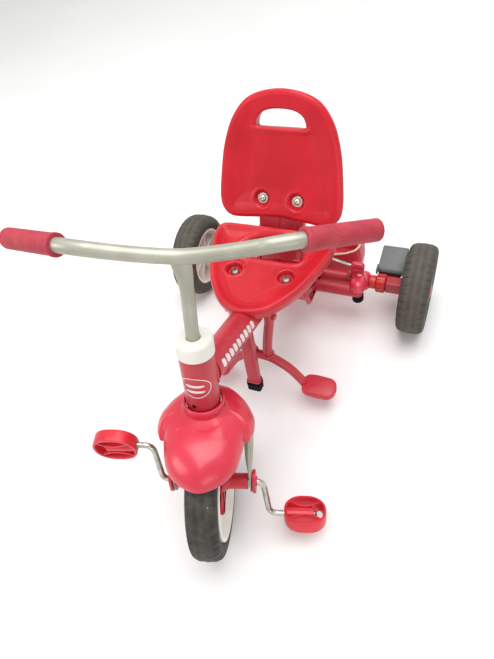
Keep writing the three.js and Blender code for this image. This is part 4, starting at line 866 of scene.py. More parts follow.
CRANK_BORE = 5.2
bearing_plate = on_side(slab(stadium(22, 13.5), 63.3, 68.2, 1.0))
bearing_collar = rounded([[CRANK_BORE, 68.0], [8.5, 68.0], [7.6, 70.4], [CRANK_BORE, 70.4]],
                         0.5, 3, loop=True)
bearing = merged(bearing_plate, turned(bearing_collar, 40, "x", loop=True))
for side, hand in SIDES.items():
    dressed("axle_bearing_skin_" + side, handed(bearing, hand), HUB, "steering",
            fitting_plastic, "axle_bearing_" + side)

# %% [markdown]
# ## Front fender
# The fender is a glossy dome under the head tube: a collar round the bush, a rounded nose over
# the front of the tyre, and a raised flap over each fork leg. It could be sculpted from a sphere.
# In polar terms it is one surface with no seams: for each direction round the collar the lower
# edge has a reach and a height, and the skin falls from the collar to that edge along a quarter
# wave. The flaps are a step in it.

# %% Fender
FENDER_EDGE = [[0, -113, 94], [30, -101, 96], [49, -80, 100], [57, -54, 105], [61, -37, 109],
               [68.5, -22, 112], [69.5, -6, 113], [66, 9, 113], [53, 33, 113], [30, 57, 113.5],
               [0, 64, 115]]
FENDER_NECK, FENDER_TOP, FENDER_WALL, COLLAR_BORE = 30.2, 143.0, 2.6, 27.0


def fender_skin(columns=480, rows=60):
    """Radius grows from the collar to the edge as the sine of a quarter turn and the height
    falls as its cosine. A crease runs down each side, nearer the nose at its foot: ahead of it
    the skin sinks, and behind it a flap stands out with a bead along its front edge."""
    edge = flowing(both_halves(FENDER_EDGE), columns, loop=True)
    reach, heading = np.hypot(edge[:, 0], edge[:, 1]), np.arctan2(edge[:, 1], edge[:, 0])
    compass = np.stack([np.cos(heading), np.sin(heading)], -1)
    turn = np.linspace(0.16, np.pi / 2, rows)[:, None]
    share = turn / (np.pi / 2)
    side = np.arctan2(np.abs(edge[:, 0]), -edge[:, 1]) / DEGREE
    crease = 82 - 23 * share
    behind = eased(side - crease, -1.6, 1.6)
    depth = 0.3 + 4.6 * eased(share, 0.05, 1.0)
    lift = behind * 0.45 * depth * (1 - 0.7 * eased(side, 110, 175))
    lift -= (1 - behind) * 0.4 * depth * np.clip(side / crease, 0, 1) ** 2
    lift += 0.9 * np.exp(-((side - crease - 3.4) / 2.4) ** 2) * eased(share, 0.15, 0.45)
    radius = FENDER_NECK + (reach - FENDER_NECK) * np.sin(turn) + lift * np.sin(turn)
    height = edge[:, 2] + (FENDER_TOP - edge[:, 2]) * np.cos(turn) + lift * np.cos(turn)

    def ringed(r, h):
        """Points at a radius and a height in every direction of the edge."""
        return np.stack([r * compass[:, 0], r * compass[:, 1], h + 0 * heading], -1)

    dome = ringed(radius, height)
    rim = [(30.4, 146), (FENDER_NECK, 150), (FENDER_NECK, 159.0), (29.6, 160.1), (28.4, 160.5),
           (27, 160.1), (26.3, 159.2), (26.2, 152), (26.2, 144.6)]
    collar = np.stack([ringed(r, h) for r, h in rim[::-1]])
    inner = np.stack([ringed(radius[-1] - t, height[-1] + u)
                      for t, u in [(0.8, -0.7), (2.2, -0.6), (2.9, 0.6)]])
    back = dome[::-3] - np.concatenate([compass, np.ones((columns, 1))], 1) * FENDER_WALL
    outside = np.hypot(back[:, :, 0], back[:, :, 1]) > COLLAR_BORE
    back[:, :, :2] = np.where(outside[..., None], back[:, :, :2], COLLAR_BORE * compass)
    return grid(np.concatenate([collar, dome, inner, back[1:]]), loop=True)


fender = dressed("fender_skin", fender_skin(), STEER, "steering",
                 fender_plastic, "fender", sharp=60)
print("fender faces:", len(fender.data.polygons))

# %% [markdown]
# ## Tyres
# A moulded tyre is a ring with a nearly square section. It carries shallow bands that run
# round it and short notches across each shoulder. Cutting every notch with a Boolean would be
# slow and leave ragged edges. Here both are one function: the radius at a place on the section
# and an angle round the wheel, less a little where a groove passes. The worn share of each point
# is kept as an attribute, so that the colour can follow the tread.

# %% Tyre surface
FRONT_SECTION = [[0.28, 1], [0.66, 0.985], [0.90, 0.80], [0.985, 0.45], [1.0, 0.0]]
REAR_SECTION = [[0.28, 1], [0.58, 0.985], [0.84, 0.83], [0.965, 0.50], [1.0, 0.0]]


def tyre_skin(radius, half_width, bead, bead_half, notches, section, around=480):
    """The section is an eased polygon; bands are cosine ripples across the crown, and notches
    are narrow pulses repeated round the wheel that fade in over the shoulder."""
    depth = radius - bead
    half = np.array([[0, bead_half / half_width]] + section)
    right = np.stack([bead + half[:, 0] * depth, half[:, 1] * half_width], -1)
    chain = np.concatenate([right, (right * [1, -1])[-2::-1]])
    section = resampled(rounded(chain, [0, 5, 7, 7, 7, 6, 7, 7, 7, 5, 0], 8), 96)
    share = np.abs(section[:, 1]) / half_width
    lift = (section[:, 0] - bead) / depth
    angle = np.arange(around) * 2 * np.pi / around
    crown = eased(lift, 0.80, 0.93)
    ripple = np.cos(share * 4 * np.pi)
    bands = 0.28 * crown * (ripple - 1)
    pulse = np.clip(np.cos(angle * notches) * 3.2 - 2.2, 0, 1)
    shoulder = eased(lift, 0.62, 0.74) * (1 - eased(lift, 0.93, 0.99))
    cut = 1.5 * shoulder[:, None] * pulse
    normal = np.gradient(section, axis=0)
    normal = np.stack([-normal[:, 1], normal[:, 0]], -1)
    normal /= np.linalg.norm(normal, axis=1, keepdims=True)
    normal *= -np.sign(np.sum(normal * (section - [bead, 0]), 1))[:, None]
    r = section[:, :1] + bands[:, None] + normal[:, :1] * cut
    x = section[:, 1:] + normal[:, 1:] * cut
    worn = crown * (0.5 + 0.5 * ripple) * 0.9 + 0.1 * (1 - shoulder)
    points = np.stack([x, r * np.cos(angle), r * np.sin(angle)], -1)
    shape = grid(points, caps=False)
    inner = [section[-1], [bead, -bead_half * 0.9], [bead, bead_half * 0.9], section[0]]
    inner = np.stack([np.stack([s[1] + 0 * angle, s[0] * np.cos(angle), s[0] * np.sin(angle)], -1)
                      for s in inner])
    joined = merged(shape, grid(inner, caps=False))
    return joined, np.concatenate([np.repeat(worn, around), np.zeros(4 * around)])


def tyre_piece(name, shape, worn, place, body, material, hides):
    """A tyre mesh whose worn share is stored on its points as they were laid out."""
    piece = mesh_piece(name, shape, place, sharp=50)
    points = placed(shape[0], place)
    nearest = {tuple(np.round(p, 5)): w for p, w in zip(points.tolist(), worn.tolist())}
    kept = np.zeros(len(piece.data.vertices) * 3)
    piece.data.vertices.foreach_get("co", kept)
    values = [nearest.get(tuple(np.round(p, 5)), 0.3) for p in kept.reshape(-1, 3).tolist()]
    piece.data.attributes.new("worn", "FLOAT", "POINT").data.foreach_set("value", values)
    return finished(piece, body, material, hides)


front_skin, front_worn = tyre_skin(FRONT_RADIUS, 23.3, 91, 20, 48, FRONT_SECTION)
tyre_piece("front_tyre_skin", front_skin, front_worn, HUB, "front_wheel", front_rubber,
           "front_tyre")
rear_skin, rear_worn = tyre_skin(REAR_RADIUS, 27, 62, 24, 36, REAR_SECTION, 400)
WHEEL_MIDDLE = 239.0
for side, hand in SIDES.items():
    place = shifted(AXLE, x=WHEEL_MIDDLE * hand)
    tyre_piece("rear_tyre_skin_" + side, rear_skin, rear_worn, place, "rear_wheel_" + side,
               rear_rubber, "rear_tyre_" + side)
print("triangles so far:", made["triangles"])

# %% [markdown]
# ## Front wheel
# The front rim is one dished moulding with a flat web and a flange that stands proud of the tyre's
# bead on each side. A star-shaped plate with a long boss stands on each face of the web and grips
# the crank. The rim is a turned profile. The star is an outline whose radius swings between its
# points and its waist, stacked with eased edges.

# %% Front rim and hub stars
HUB_BORE, WEB_HALF, FLANGE_HALF, RIM_RADIUS = 5.1, 11.0, 24.0, 90.6
rim_half = [[HUB_BORE, WEB_HALF], [76, WEB_HALF], [85, FLANGE_HALF], [RIM_RADIUS, FLANGE_HALF]]
rim_corners = np.concatenate([np.array(rim_half) * [1, -1], rim_half[::-1]])
front_rim = rounded(rim_corners, [0.5, 3, 2.4, 1.6, 1.6, 2.4, 3, 0.5], 6, loop=True)
dressed("front_rim_skin", turned(front_rim, 160, "x", loop=True), HUB, "front_wheel",
        rim_plastic, "front_rim")


def star_outline(points=5, tip=58, waist=24, corner=3.5):
    """Straight edges between tips and waists, with each corner eased."""
    turn = np.arange(2 * points) * np.pi / points
    radius = np.where(np.arange(2 * points) % 2 == 0, tip, waist)
    corners = np.stack([radius * np.sin(turn), radius * np.cos(turn)], -1)
    return resampled(rounded(corners, corner, 6, loop=True), 240, loop=True)


def hub_star():
    """A plate with a smaller star raised on it, and the boss, which swells at its foot."""
    outline = star_outline()
    plate = on_side(slab(outline, 11.3, 16.3, 1.2))
    arms = on_side(slab(inset(outline, 7.5)[::2], 15.8, 18.2, 1.0))
    boss = rounded([[HUB_BORE, 16], [19, 16], [13.4, 24], [12.5, 30], [12.5, 56], [HUB_BORE, 56]],
                   [0.4, 2, 5, 4, 1.2, 0.4], 5, loop=True)
    return merged(plate, arms, turned(boss, 64, "x", loop=True))


star = hub_star()
for side, hand in SIDES.items():
    dressed("hub_star_skin_" + side, handed(star, hand), HUB, "front_wheel",
            fitting_plastic, "hub_star_" + side)

# %% [markdown]
# ## Crank and pedals
# The crank is one bent steel rod: straight through the hub, out along an arm and out again as
# the pedal's spindle, with generous bends. A pedal is an open ring with a barrel along its
# middle. Thin ribs leave the ends of the ring as arcs that come in to the barrel.

# %% Crank
CRANK_ANGLE = 81.6 * DEGREE
CRANK_THROW = 71.3
CRANK_ROD = 4.8
PEDAL_INNER, PEDAL_LENGTH, PEDAL_DEPTH, PEDAL_HEIGHT = 111.0, 68.0, 32.0, 10.0
PEDAL_CORNER, PEDAL_WALL, BARREL_END = 29.0, 6.0, 14.0
arm_end = np.array([0, np.cos(CRANK_ANGLE), np.sin(CRANK_ANGLE)]) * CRANK_THROW


def crank_path():
    """The rod's two ends and its four corners, each eased over about 14 mm, then cut into even
    short steps."""
    right = np.array([[79.5, 0, 0], [87.5, 0, 0], [161.0, 0, 0]])
    right[1:] -= arm_end
    chain = np.concatenate([(right * [-1, -1, -1])[::-1], right])
    return resampled(rounded(chain, [0, 15, 14, 14, 15, 0], 12), 280)


crank_skin = carried(circle(CRANK_ROD, 28), crank_path(), up=(0, 1, 0.3))
dressed("crank_skin", crank_skin, HUB, "front_wheel", bright_steel, "crank",
        sharp=60)

# %% Pedals
def pedal_ring(half_length, half_depth, corner, wall, half_height):
    """A band with a rounded-rectangle outline and a lip at both faces."""
    outer = resampled(oblong(half_length, half_depth, corner, 14), 160, loop=True)
    shoulder = [(0.9, -1.0), (0.25, -0.94), (0, -0.82), (0, 0.82), (0.25, 0.94), (0.9, 1.0),
                (wall - 2.2, 1.0), (wall - 1.6, 0.92), (wall - 1.4, 0.8), (wall, 0.0),
                (wall - 1.4, -0.8), (wall - 1.6, -0.92), (wall - 2.2, -1.0)]
    return stacked([(inset(outer, depth), level * half_height) for depth, level in shoulder],
                   loop=True)


def arc_rib(half_length, far, near, thickness, half_height):
    """A thin wall bent as an arc: far from the middle at its ends and near it halfway."""
    along = np.linspace(-1, 1, 40)
    path = np.stack([along * half_length, near + (far - near) * along ** 2, 0 * along], -1)
    wall = oblong(thickness / 2, half_height, 0.7, 3)
    return carried(wall, path)


def pedal_shape():
    """Ring, barrel with a bore, two arcs, and a short web from the barrel's end to each arc."""
    half = PEDAL_LENGTH / 2
    ring = pedal_ring(half, PEDAL_DEPTH, PEDAL_CORNER, PEDAL_WALL, PEDAL_HEIGHT)
    arcs = [arc_rib(half - 9, side * 19.5, side * 9.6, 2.8, 9.0) for side in (-1, 1)]
    barrel = rounded([[CRANK_BORE, 0.3 - half], [9.0, 0.3 - half], [9.4, BARREL_END],
                      [CRANK_BORE, BARREL_END]], [0.3, 1.0, 1.6, 0.5], 4, loop=True)
    cross = [moved(slab(oblong(1.5, 2.6, 0.8, 3), -8, 8, 0.6), x=BARREL_END - 1.6, y=side * 10.0)
             for side in (-1, 1)]
    return merged(ring, turned(barrel, 48, "x", loop=True), *arcs, *cross)


TILTS = {"left": 103 * DEGREE, "right": -15 * DEGREE}
pedal = pedal_shape()
nut = turned(rounded([[0, 159.8], [5.9, 159.8], [5.9, 161.4], [4.2, 163.6], [0, 164.2]],
                     [0, 0.5, 1.2, 1.4, 0], 5), 40, "x")
for side, hand in SIDES.items():
    middle = hand * (PEDAL_INNER + PEDAL_LENGTH / 2)
    place = shifted(HUB, middle, -hand * arm_end[1], -hand * arm_end[2], rows=turn_x(TILTS[side]))
    dressed("pedal_skin_" + side, handed(pedal, hand), place, f"pedal_{side}_body",
            pedal_plastic, "pedal_" + side)
    place = shifted(HUB, 0, -hand * arm_end[1], -hand * arm_end[2])
    dressed("pedal_nut_skin_" + side, handed(nut, hand), place, "front_wheel",
            worn_steel, "pedal_nut_" + side)
print("pedal pieces:", made["pieces"])

# %% [markdown]
# ## Seat and backrest
# Both are blow-moulded shells: a pan with a rolled rim round it, a side wall below the rim, an
# opening, and two round recesses for bolts. A box with Boolean cuts would have hard rims to soften
# afterwards. Instead the surface is a family of closed rings that blend from the opening's
# outline to the outer one. Each point's height depends on its distance from the outer edge,
# which draws the rim, and from the bolts, which sinks the recesses.

# %% Pierced shells
def bezier(first, second, third, fourth, count=24):
    """A cubic curve between two points, pulled towards two others."""
    t = np.linspace(0, 1, count)[:, None]
    return ((1 - t) ** 3 * np.array(first) + 3 * t * (1 - t) ** 2 * np.array(second)
            + 3 * t * t * (1 - t) * np.array(third) + t ** 3 * np.array(fourth))


def distance_to(points, outline):
    """The distance of each point from a closed outline, as the nearest of its many points."""
    flat = points.reshape(-1, 2)
    fine = resampled(outline, 720, loop=True)
    nearest = [np.min(np.hypot(part[:, None, 0] - fine[None, :, 0],
                               part[:, None, 1] - fine[None, :, 1]), 1)
               for part in np.array_split(flat, 40)]
    return np.concatenate(nearest).reshape(points.shape[:-1])


def pierced_shell(hole, outer, level, walls, tunnel, rings=84, columns=360):
    """Rings from the hole to the outer outline, closer together at both edges, each point at
    its level. The walls and the tunnel carry the last and first rings on, downwards."""
    hole, outer = (resampled(edge, columns, loop=True) for edge in (hole, outer))
    share = 0.5 - 0.5 * np.cos(np.linspace(0, np.pi, rings))
    share = (0.6 * share + 0.4 * np.linspace(0, 1, rings))[:, None, None]
    flat = hole * (1 - share) + outer * share
    face = np.concatenate([flat, level(flat)[..., None]], -1)
    rows = [np.concatenate([inset(hole, -depth), face[0][:, 2:] - drop], 1)
            for depth, drop in tunnel[::-1]]
    rows += list(face)
    rows += [np.concatenate([inset(outer, depth), np.full((columns, 1), height)], 1)
             for depth, height in walls]
    return grid(np.stack(rows), caps=False)


def with_recesses(level, flat, bolt, swell, inner, outer, floor):
    """The level with a round recess for a bolt on each side: a ring that stands proud as a bell
    curve, and inside it a smooth step between two radii down to the floor."""
    for side in (-1, 1):
        away = np.hypot(flat[..., 0] - bolt[0] * side, flat[..., 1] - bolt[1])
        level = level + swell * np.exp(-((away - 17) / 2.2) ** 2)
        outside = eased(away, inner, outer)
        level = level * outside + (1 - outside) * floor
    return level


def from_top(outline):
    """The outline turned so that it starts at its highest point on the middle line."""
    start = np.argmin(np.abs(outline[:, 0]) * 10 - outline[:, 1])
    return np.roll(outline, -start, axis=0)


# %% Backrest
BACK_HALF = [[0, 175], [52, 164], [82, 134], [99, 90], [107, 40], [110, -4], [103, -26], [85, -37],
             [45, -34.5], [0, -30.5]]
HAND_HALF_WIDTH, HAND_LOW, HAND_HIGH = 42.0, 118.0, 146.0
BACK_BOLT, BACK_RECESS = (31.0, 0.0), -7.4


def hand_hole():
    """Straight below and arched above, with its lower corners eased."""
    arch = bezier([HAND_HALF_WIDTH, HAND_LOW], [HAND_HALF_WIDTH, HAND_HIGH - 4],
                  [HAND_HALF_WIDTH / 2, HAND_HIGH], [0, HAND_HIGH])
    half = arch[::-1]
    chain = np.concatenate([half, (half * [-1, 1])[::-1][:-1]])
    corner = len(half) - 1
    reach = np.zeros(len(chain))
    reach[[corner, corner + 1]] = 9
    return rounded(chain, reach, 6, loop=True)


def back_level(flat):
    """A rolled rim 27 mm wide and nearly 4 mm proud, a lip round the hand hole that is highest
    below it, a pan that is hollow by about 4 mm in its middle, and two round recesses."""
    edge = distance_to(flat, back_outline)
    hole = distance_to(flat, hand_outline)
    rim = np.interp(edge, [0, 1.2, 3, 7.5, 15, 27], [-5, -0.6, 2.0, 3.7, 3.2, 0.9])
    below = 3.4 * eased(-flat[..., 1], -121, -114)
    lip = (1.6 + below) * np.exp(-((hole - 5) / 4.5) ** 2) - 1.2 * np.exp(-(hole / 1.6) ** 2)
    hollow = -4.2 * eased(edge, 18, 52)
    level = rim + lip * (1 - 0.5 * eased(3.0 - rim, -3, 0)) + hollow
    return with_recesses(level, flat, BACK_BOLT, 0.7, 11.4, 14.6, BACK_RECESS)


back_outline = from_top(flowing(both_halves(BACK_HALF), 400, loop=True))
hand_outline = from_top(hand_hole())
back_walls = [(0.5, -8), (1.6, -13), (3.4, -20), (4.6, -23.6), (6.2, -25)]
back_skin = pierced_shell(hand_outline, back_outline, back_level, back_walls,
                          [(0.6, 1.4), (1.0, 5), (1.6, 16), (2.2, 21)])
backrest = mesh_piece("backrest_skin", back_skin, BACK, sharp=50)
finished(walled(backrest, 3.2), "frame", back_plastic, "backrest")
print("backrest faces:", len(backrest.data.polygons))

# %% Seat
SEAT_HALF = [[0, 216], [37, 228], [62, 254], [82, 287], [99, 335], [109, 377], [101, 402],
             [60, 406], [0, 406]]
SEAT_FRONT, SEAT_BACK = 216.0, 406.0
SEAT_FLOOR, SEAT_CREST, SEAT_RISE = 274.0, 282.0, 5.0
SEAT_BOLT, SEAT_RECESS = (45.8, 308.5), 264.4


def seat_slot():
    """Straight in front, bowed behind, with its front corners rounded."""
    bow = bezier([60, 358], [60, 374], [30, 391], [0, 391])
    half = np.concatenate([[[47, 341], [56, 344], [60, 350]], bow])
    return np.concatenate([half, (half * [-1, 1])[::-1][1:]])


def seat_level(flat):
    """The pan's floor, a broad rolled rim that rises towards the back, a soft hollow, a lip at
    the slot and two recesses 10 mm deep."""
    edge, slot = distance_to(flat, seat_outline), distance_to(flat, slot_outline)
    back = (flat[..., 1] - SEAT_FRONT) / (SEAT_BACK - SEAT_FRONT)
    crest = SEAT_CREST + SEAT_RISE * back - SEAT_FLOOR
    rim = np.interp(edge, [0, 0.8, 2.2, 4.4, 8, 16, 26, 36],
                    [0.15, 0.55, 0.86, 1, 0.93, 0.5, 0.15, 0])
    level = SEAT_FLOOR + crest * rim - 1.5 * eased(edge, 36, 70)
    level = level + 1.1 * np.exp(-((slot - 5) / 4) ** 2) - 1.3 * np.exp(-(slot / 1.6) ** 2)
    return with_recesses(level, flat, SEAT_BOLT, 0.8, 11.2, 14.4, SEAT_RECESS)


seat_outline = from_top(flowing(both_halves(SEAT_HALF), 400, loop=True))
slot_outline = from_top(seat_slot())
seat_walls = [(0.5, 272), (1.4, 267), (2.8, 261.5), (4.0, 258.4), (5.4, 257.2)]
seat_skin = pierced_shell(slot_outline, seat_outline, seat_level, seat_walls,
                          [(0.5, 1.2), (0.9, 4), (1.4, 9), (1.8, 13)])
seat = mesh_piece("seat_skin", seat_skin, LAYOUT, sharp=50)
finished(walled(seat, 3.2), "frame", seat_plastic, "seat_pan")
print("seat faces:", len(seat.data.polygons))

# %% Bolts of the seat and backrest
def hexagon(size, count):
    """The radius of a hexagon in each of `count` directions."""
    angle = np.arange(count) * 2 * np.pi / count
    return size * np.cos(np.pi / 6) / np.cos(np.mod(angle, np.pi / 3) - np.pi / 6)


def button_bolt(head, height, socket, washer, washer_height, shank, length, sides=72):
    """Rings of equal count: shank, washer, a domed head and a hexagonal socket in its top."""
    round_rows = [(shank, -length), (shank, 0)]
    if washer:
        round_rows += [(washer - 0.3, 0), (washer, 0.3), (washer, washer_height - 0.3),
                       (washer - 0.4, washer_height)]
    dome = np.linspace(0, 1.15, 9)
    round_rows += [(head, washer_height), (head, washer_height + 0.5)]
    round_rows += [(head * np.cos(a) ** 0.8,
                    washer_height + 0.5 + (height - 0.5) * np.sin(a) / 0.913) for a in dome[1:]]
    angle = np.arange(sides) * 2 * np.pi / sides
    hexed = hexagon(socket, sides)
    top = washer_height + height
    rows = [(np.full(sides, float(r)), z) for r, z in round_rows]
    rows += [(hexed * 1.08, top), (hexed, top - 0.3), (hexed, top - 2), (hexed * 0.1, top - 2.3)]
    points = [np.stack([r * np.cos(angle), r * np.sin(angle), np.full(sides, z)], -1)
              for r, z in rows]
    return grid(np.stack(points))


back_bolt = button_bolt(head=6.2, height=4.4, socket=2.4, washer=9.2, washer_height=1.4,
                        shank=3, length=12)
seat_bolt = button_bolt(head=7.5, height=4.5, socket=2.8, washer=0, washer_height=0,
                        shank=3.5, length=20)
for side, hand in SIDES.items():
    place = shifted(BACK, BACK_BOLT[0] * hand, BACK_BOLT[1], BACK_RECESS + 0.2,
                    rows=turn_z(0.3 * hand))
    dressed("backrest_bolt_skin_" + side, back_bolt, place, "frame", bolt_steel,
            "backrest_bolt_" + side, sharp=30)
    place = shifted(LAYOUT, SEAT_BOLT[0] * hand, SEAT_BOLT[1], SEAT_RECESS + 0.2,
                    rows=turn_z(0.5 - 0.4 * hand))
    dressed("seat_bolt_skin_" + side, seat_bolt, place, "frame", worn_steel,
            "seat_bolt_" + side, sharp=30)
print("triangles so far:", made["triangles"])

# %% [markdown]
# ## Brackets under the seat
# The seat stands on a pressed steel plate whose saddle is shaped to the main tube, and the
# backrest on a folded channel. The plate is made of blocks with rounded edges. The channel is an
# open skin in the folded shape, given a wall of even thickness.

# %% Seat bracket and backrest channel
def prism(outline, low, high, edge=1.2):
    """A side outline in (depth, height) made thick across X, with rounded edges."""
    return on_side(slab(np.asarray(outline, float), low, high, edge))


def box_shape(low, high, corner=1.5, edge=0.8):
    """A block between two corners with rounded edges all round."""
    low, high = np.asarray(low, float), np.asarray(high, float)
    middle, half = (low + high) / 2, (high - low) / 2
    flat = oblong(half[0], half[1], min(corner, 0.9 * half[0], 0.9 * half[1]), 4)
    return moved(slab(flat, low[2], high[2], edge), x=middle[0], y=middle[1])


plate = box_shape([-60, 298, 247], [60, 360, 250], 8, 0.8)
saddle = [box_shape([side * 26 - 2, 300, 226], [side * 26 + 2, 358, 248]) for side in (-1, 1)]
tabs = [box_shape([side * 50 - 6, 351, 249], [side * 50 + 6, 354, 268], 0.8, 0.8)
        for side in (-1, 1)]
dressed("seat_bracket_skin", merged(plate, *saddle, *tabs), LAYOUT, "frame",
        frame_paint, "seat_bracket")

CHANNEL_FACE, CHANNEL_TOP, CHANNEL_LOW = -12.0, 20.0, -115.0


def channel_skin(rows=24):
    """A folded section, two flanges and a face with a pressed line down its middle, repeated
    down the back; the lower end tapers in towards the cradle."""
    half = np.array([[0, -1.2], [1.6, -1.2], [3.2, 0], [30, 0], [34.5, -0.5], [37.2, -2.4],
                     [38, -6], [38, -17.5]])
    section = np.concatenate([(half * [-1, 1])[::-1][:-1], half])
    height = np.linspace(CHANNEL_TOP, CHANNEL_LOW, rows)
    narrow = 1 - 0.06 * eased(-height, 40, 115)
    points = np.stack([section[None, :, 0] * narrow[:, None], height[:, None] + 0 * section[:, 0],
                       CHANNEL_FACE + section[None, :, 1] + 0 * height[:, None]], -1)
    return grid(points, ring=False)


finished(walled(mesh_piece("backrest_bracket_skin", channel_skin(), BACK, sharp=30), 3.4, 1),
         "frame", frame_paint, "backrest_bracket")

# %% [markdown]
# ## Rear frame
# A sheet-steel cradle joins the main tube, the axle tube and the cross tube of the rear stand.
# The stand's legs end in rubber caps, and a moulded clamp on each side ties a leg to the axle
# tube. The clamp is bulbous: its ring, arm and socket flow into each other, so their joined
# solids are remeshed finely and smoothed until the creases become fillets.

# %% Cradle, axle tube and stand
STAND_DEPTH, STAND_HEIGHT, LEG_HALF, LEG_TOP, LEG_FOOT = 446.0, 101.0, 132.0, 122.0, 82.0
LEG_RADIUS, CAP_RADIUS, CAP_FOOT, CAP_RIM_HEIGHT = 9.5, 11.2, 78.2, 93.2
CRADLE_HALF, CRADLE_BEND, CHEEK_REACH = 46.0, 7.0, 26.0


def cradle_skin():
    """One skin from cheek to cheek, drawn from the side outline with its corners eased. Across
    the middle it lies 7 mm inside the outline and passes through both cheeks, and a rolled rim
    stands out to the outline along a quarter circle at each cheek's edge."""
    corners = [[392, 219], [470, 188], [510.6, 100], [505.6, 72], [472, 70], [408, 80], [392, 120]]
    outline = resampled(rounded(corners, [2, 22, 16, 4, 6, 5, 4], 8, loop=True), 200, loop=True)
    bend = np.linspace(0, np.pi / 2, 6)
    right = [(CRADLE_BEND * (1 - np.sin(a)), CRADLE_HALF - CRADLE_BEND * (1 - np.cos(a)))
             for a in bend]
    right.append((CHEEK_REACH, CRADLE_HALF))
    left = [(depth, -across) for depth, across in right[::-1]]
    return on_side(stacked([(inset(outline, depth), across) for depth, across in left + right]))


dressed("rear_cradle_skin", cradle_skin(), LAYOUT, "frame", frame_paint,
        "rear_cradle", sharp=30)


def sleeve(radius, bore, start, end, edge=0.9, sides=72):
    """A pipe along the axle with eased rims."""
    return turned(ring_profile(bore, radius, start, end, edge), sides, "x", loop=True)


dressed("axle_tube_skin", sleeve(14.5, 12, -146, 146), AXLE, "frame", frame_paint,
        "axle_tube")

cross_tube = carried(circle(12, 56), [[-LEG_HALF, STAND_DEPTH, STAND_HEIGHT],
                                      [LEG_HALF, STAND_DEPTH, STAND_HEIGHT]])
legs = [moved(turned(rounded([[0, LEG_FOOT], [LEG_RADIUS, LEG_FOOT], [LEG_RADIUS, LEG_TOP],
                              [0, LEG_TOP]], [0, 0.8, 3, 0], 5), 56),
              x=hand * LEG_HALF, y=STAND_DEPTH)
        for hand in SIDES.values()]
dressed("rear_stand_skin", merged(cross_tube, *legs), LAYOUT, "frame", frame_paint,
        "rear_stand")

cap_corners = [[0, CAP_FOOT], [CAP_RADIUS, CAP_FOOT], [CAP_RADIUS, CAP_RIM_HEIGHT],
               [9.8, CAP_RIM_HEIGHT], [9.8, 81.7], [0, 81.7]]
cap_profile = rounded(cap_corners, [0, 1.8, 0.6, 0.5, 0.4, 0], 5)
for side, hand in SIDES.items():
    dressed("stand_cap_skin_" + side, turned(cap_profile, 72),
            shifted(LAYOUT, LEG_HALF * hand, STAND_DEPTH), "frame", black_rubber_and_hole_shade,
            "stand_cap_" + side)

# %% Clamps
def fused(piece, voxel, smooth):
    """Overlapping solids made into one skin: a voxel remesh, then smoothing that rounds the
    creases between them into fillets."""
    remesh = piece.modifiers.new("one skin", "REMESH")
    remesh.mode, remesh.voxel_size, remesh.use_smooth_shade = "VOXEL", voxel / 1000, True
    even = piece.modifiers.new("fillets", "SMOOTH")
    even.factor, even.iterations = 0.5, smooth
    return piece


CLAMP_LEG, CLAMP_AXLE = np.array([LEG_HALF - 1.5, 445.0, 112.0]), np.array([127.0, 484, 93])
CLAMP_UP = np.array([0, 20.0, 45]) / np.hypot(20, 45)


def clamp_body():
    """A full body that swells from the leg to the axle tube, the ring round the tube, the foot
    of the lug and an ear, all overlapping. The body's ends close as a superellipse."""
    ring = rounded([[0, 107.5], [16, 107.5], [20.0, 112], [20.3, 141], [16.5, 145.8], [0, 145.8]],
                   [0, 3, 5, 5, 3, 0], 5)
    ring = moved(turned(ring, 64, "x"), y=WHEELBASE, z=REAR_RADIUS)
    t = np.linspace(0, 1, 28)[:, None]
    path = CLAMP_LEG * (1 - t) + CLAMP_AXLE * t + CLAMP_UP * 2.5 * np.sin(np.pi * t)
    run = (CLAMP_AXLE - CLAMP_LEG) / np.linalg.norm(CLAMP_AXLE - CLAMP_LEG)
    path = path + run * (24 * t - 12)
    close = np.sqrt(np.clip(1 - np.abs(2 * t - 1) ** 4, 0.02, 1))
    halves = np.stack([(16.5 + 3 * t) * close, (15 + 4 * t) * close], -1)
    body = carried(circle(1, 48)[None] * halves, path)
    lug = box_shape([112, 473.5, 96], [136, 482.5, 131], 3.5, 2.5)
    ear = box_shape([103, 474, 100], [113, 482, 119], 3, 2.5)
    return merged(ring, body, lug, ear)


def lug_top():
    """A rounded slab over the lug with a slot through it."""
    outline = resampled(oblong(13, 12, 8, 8), 96, loop=True)
    slot = resampled(oblong(6.5, 3.2, 2.6, 8), 96, loop=True) + [0, 1.0]
    faces = [(inset(outline, e), h) for e, h in [(2.0, -5.0), (0.6, -4.6), (0, -3.4), (0, 3.4),
                                                 (0.6, 4.6), (2.0, 5.0)]]
    faces += [(inset(slot, -e), h) for e, h in [(0.8, 4.8), (0, 4.0), (0, -4.0), (0.8, -4.8)]]
    points, quads = stacked(faces, loop=True)
    return np.stack([points[:, 0] + 124, points[:, 2] + 478, points[:, 1] + 135.4], -1), quads


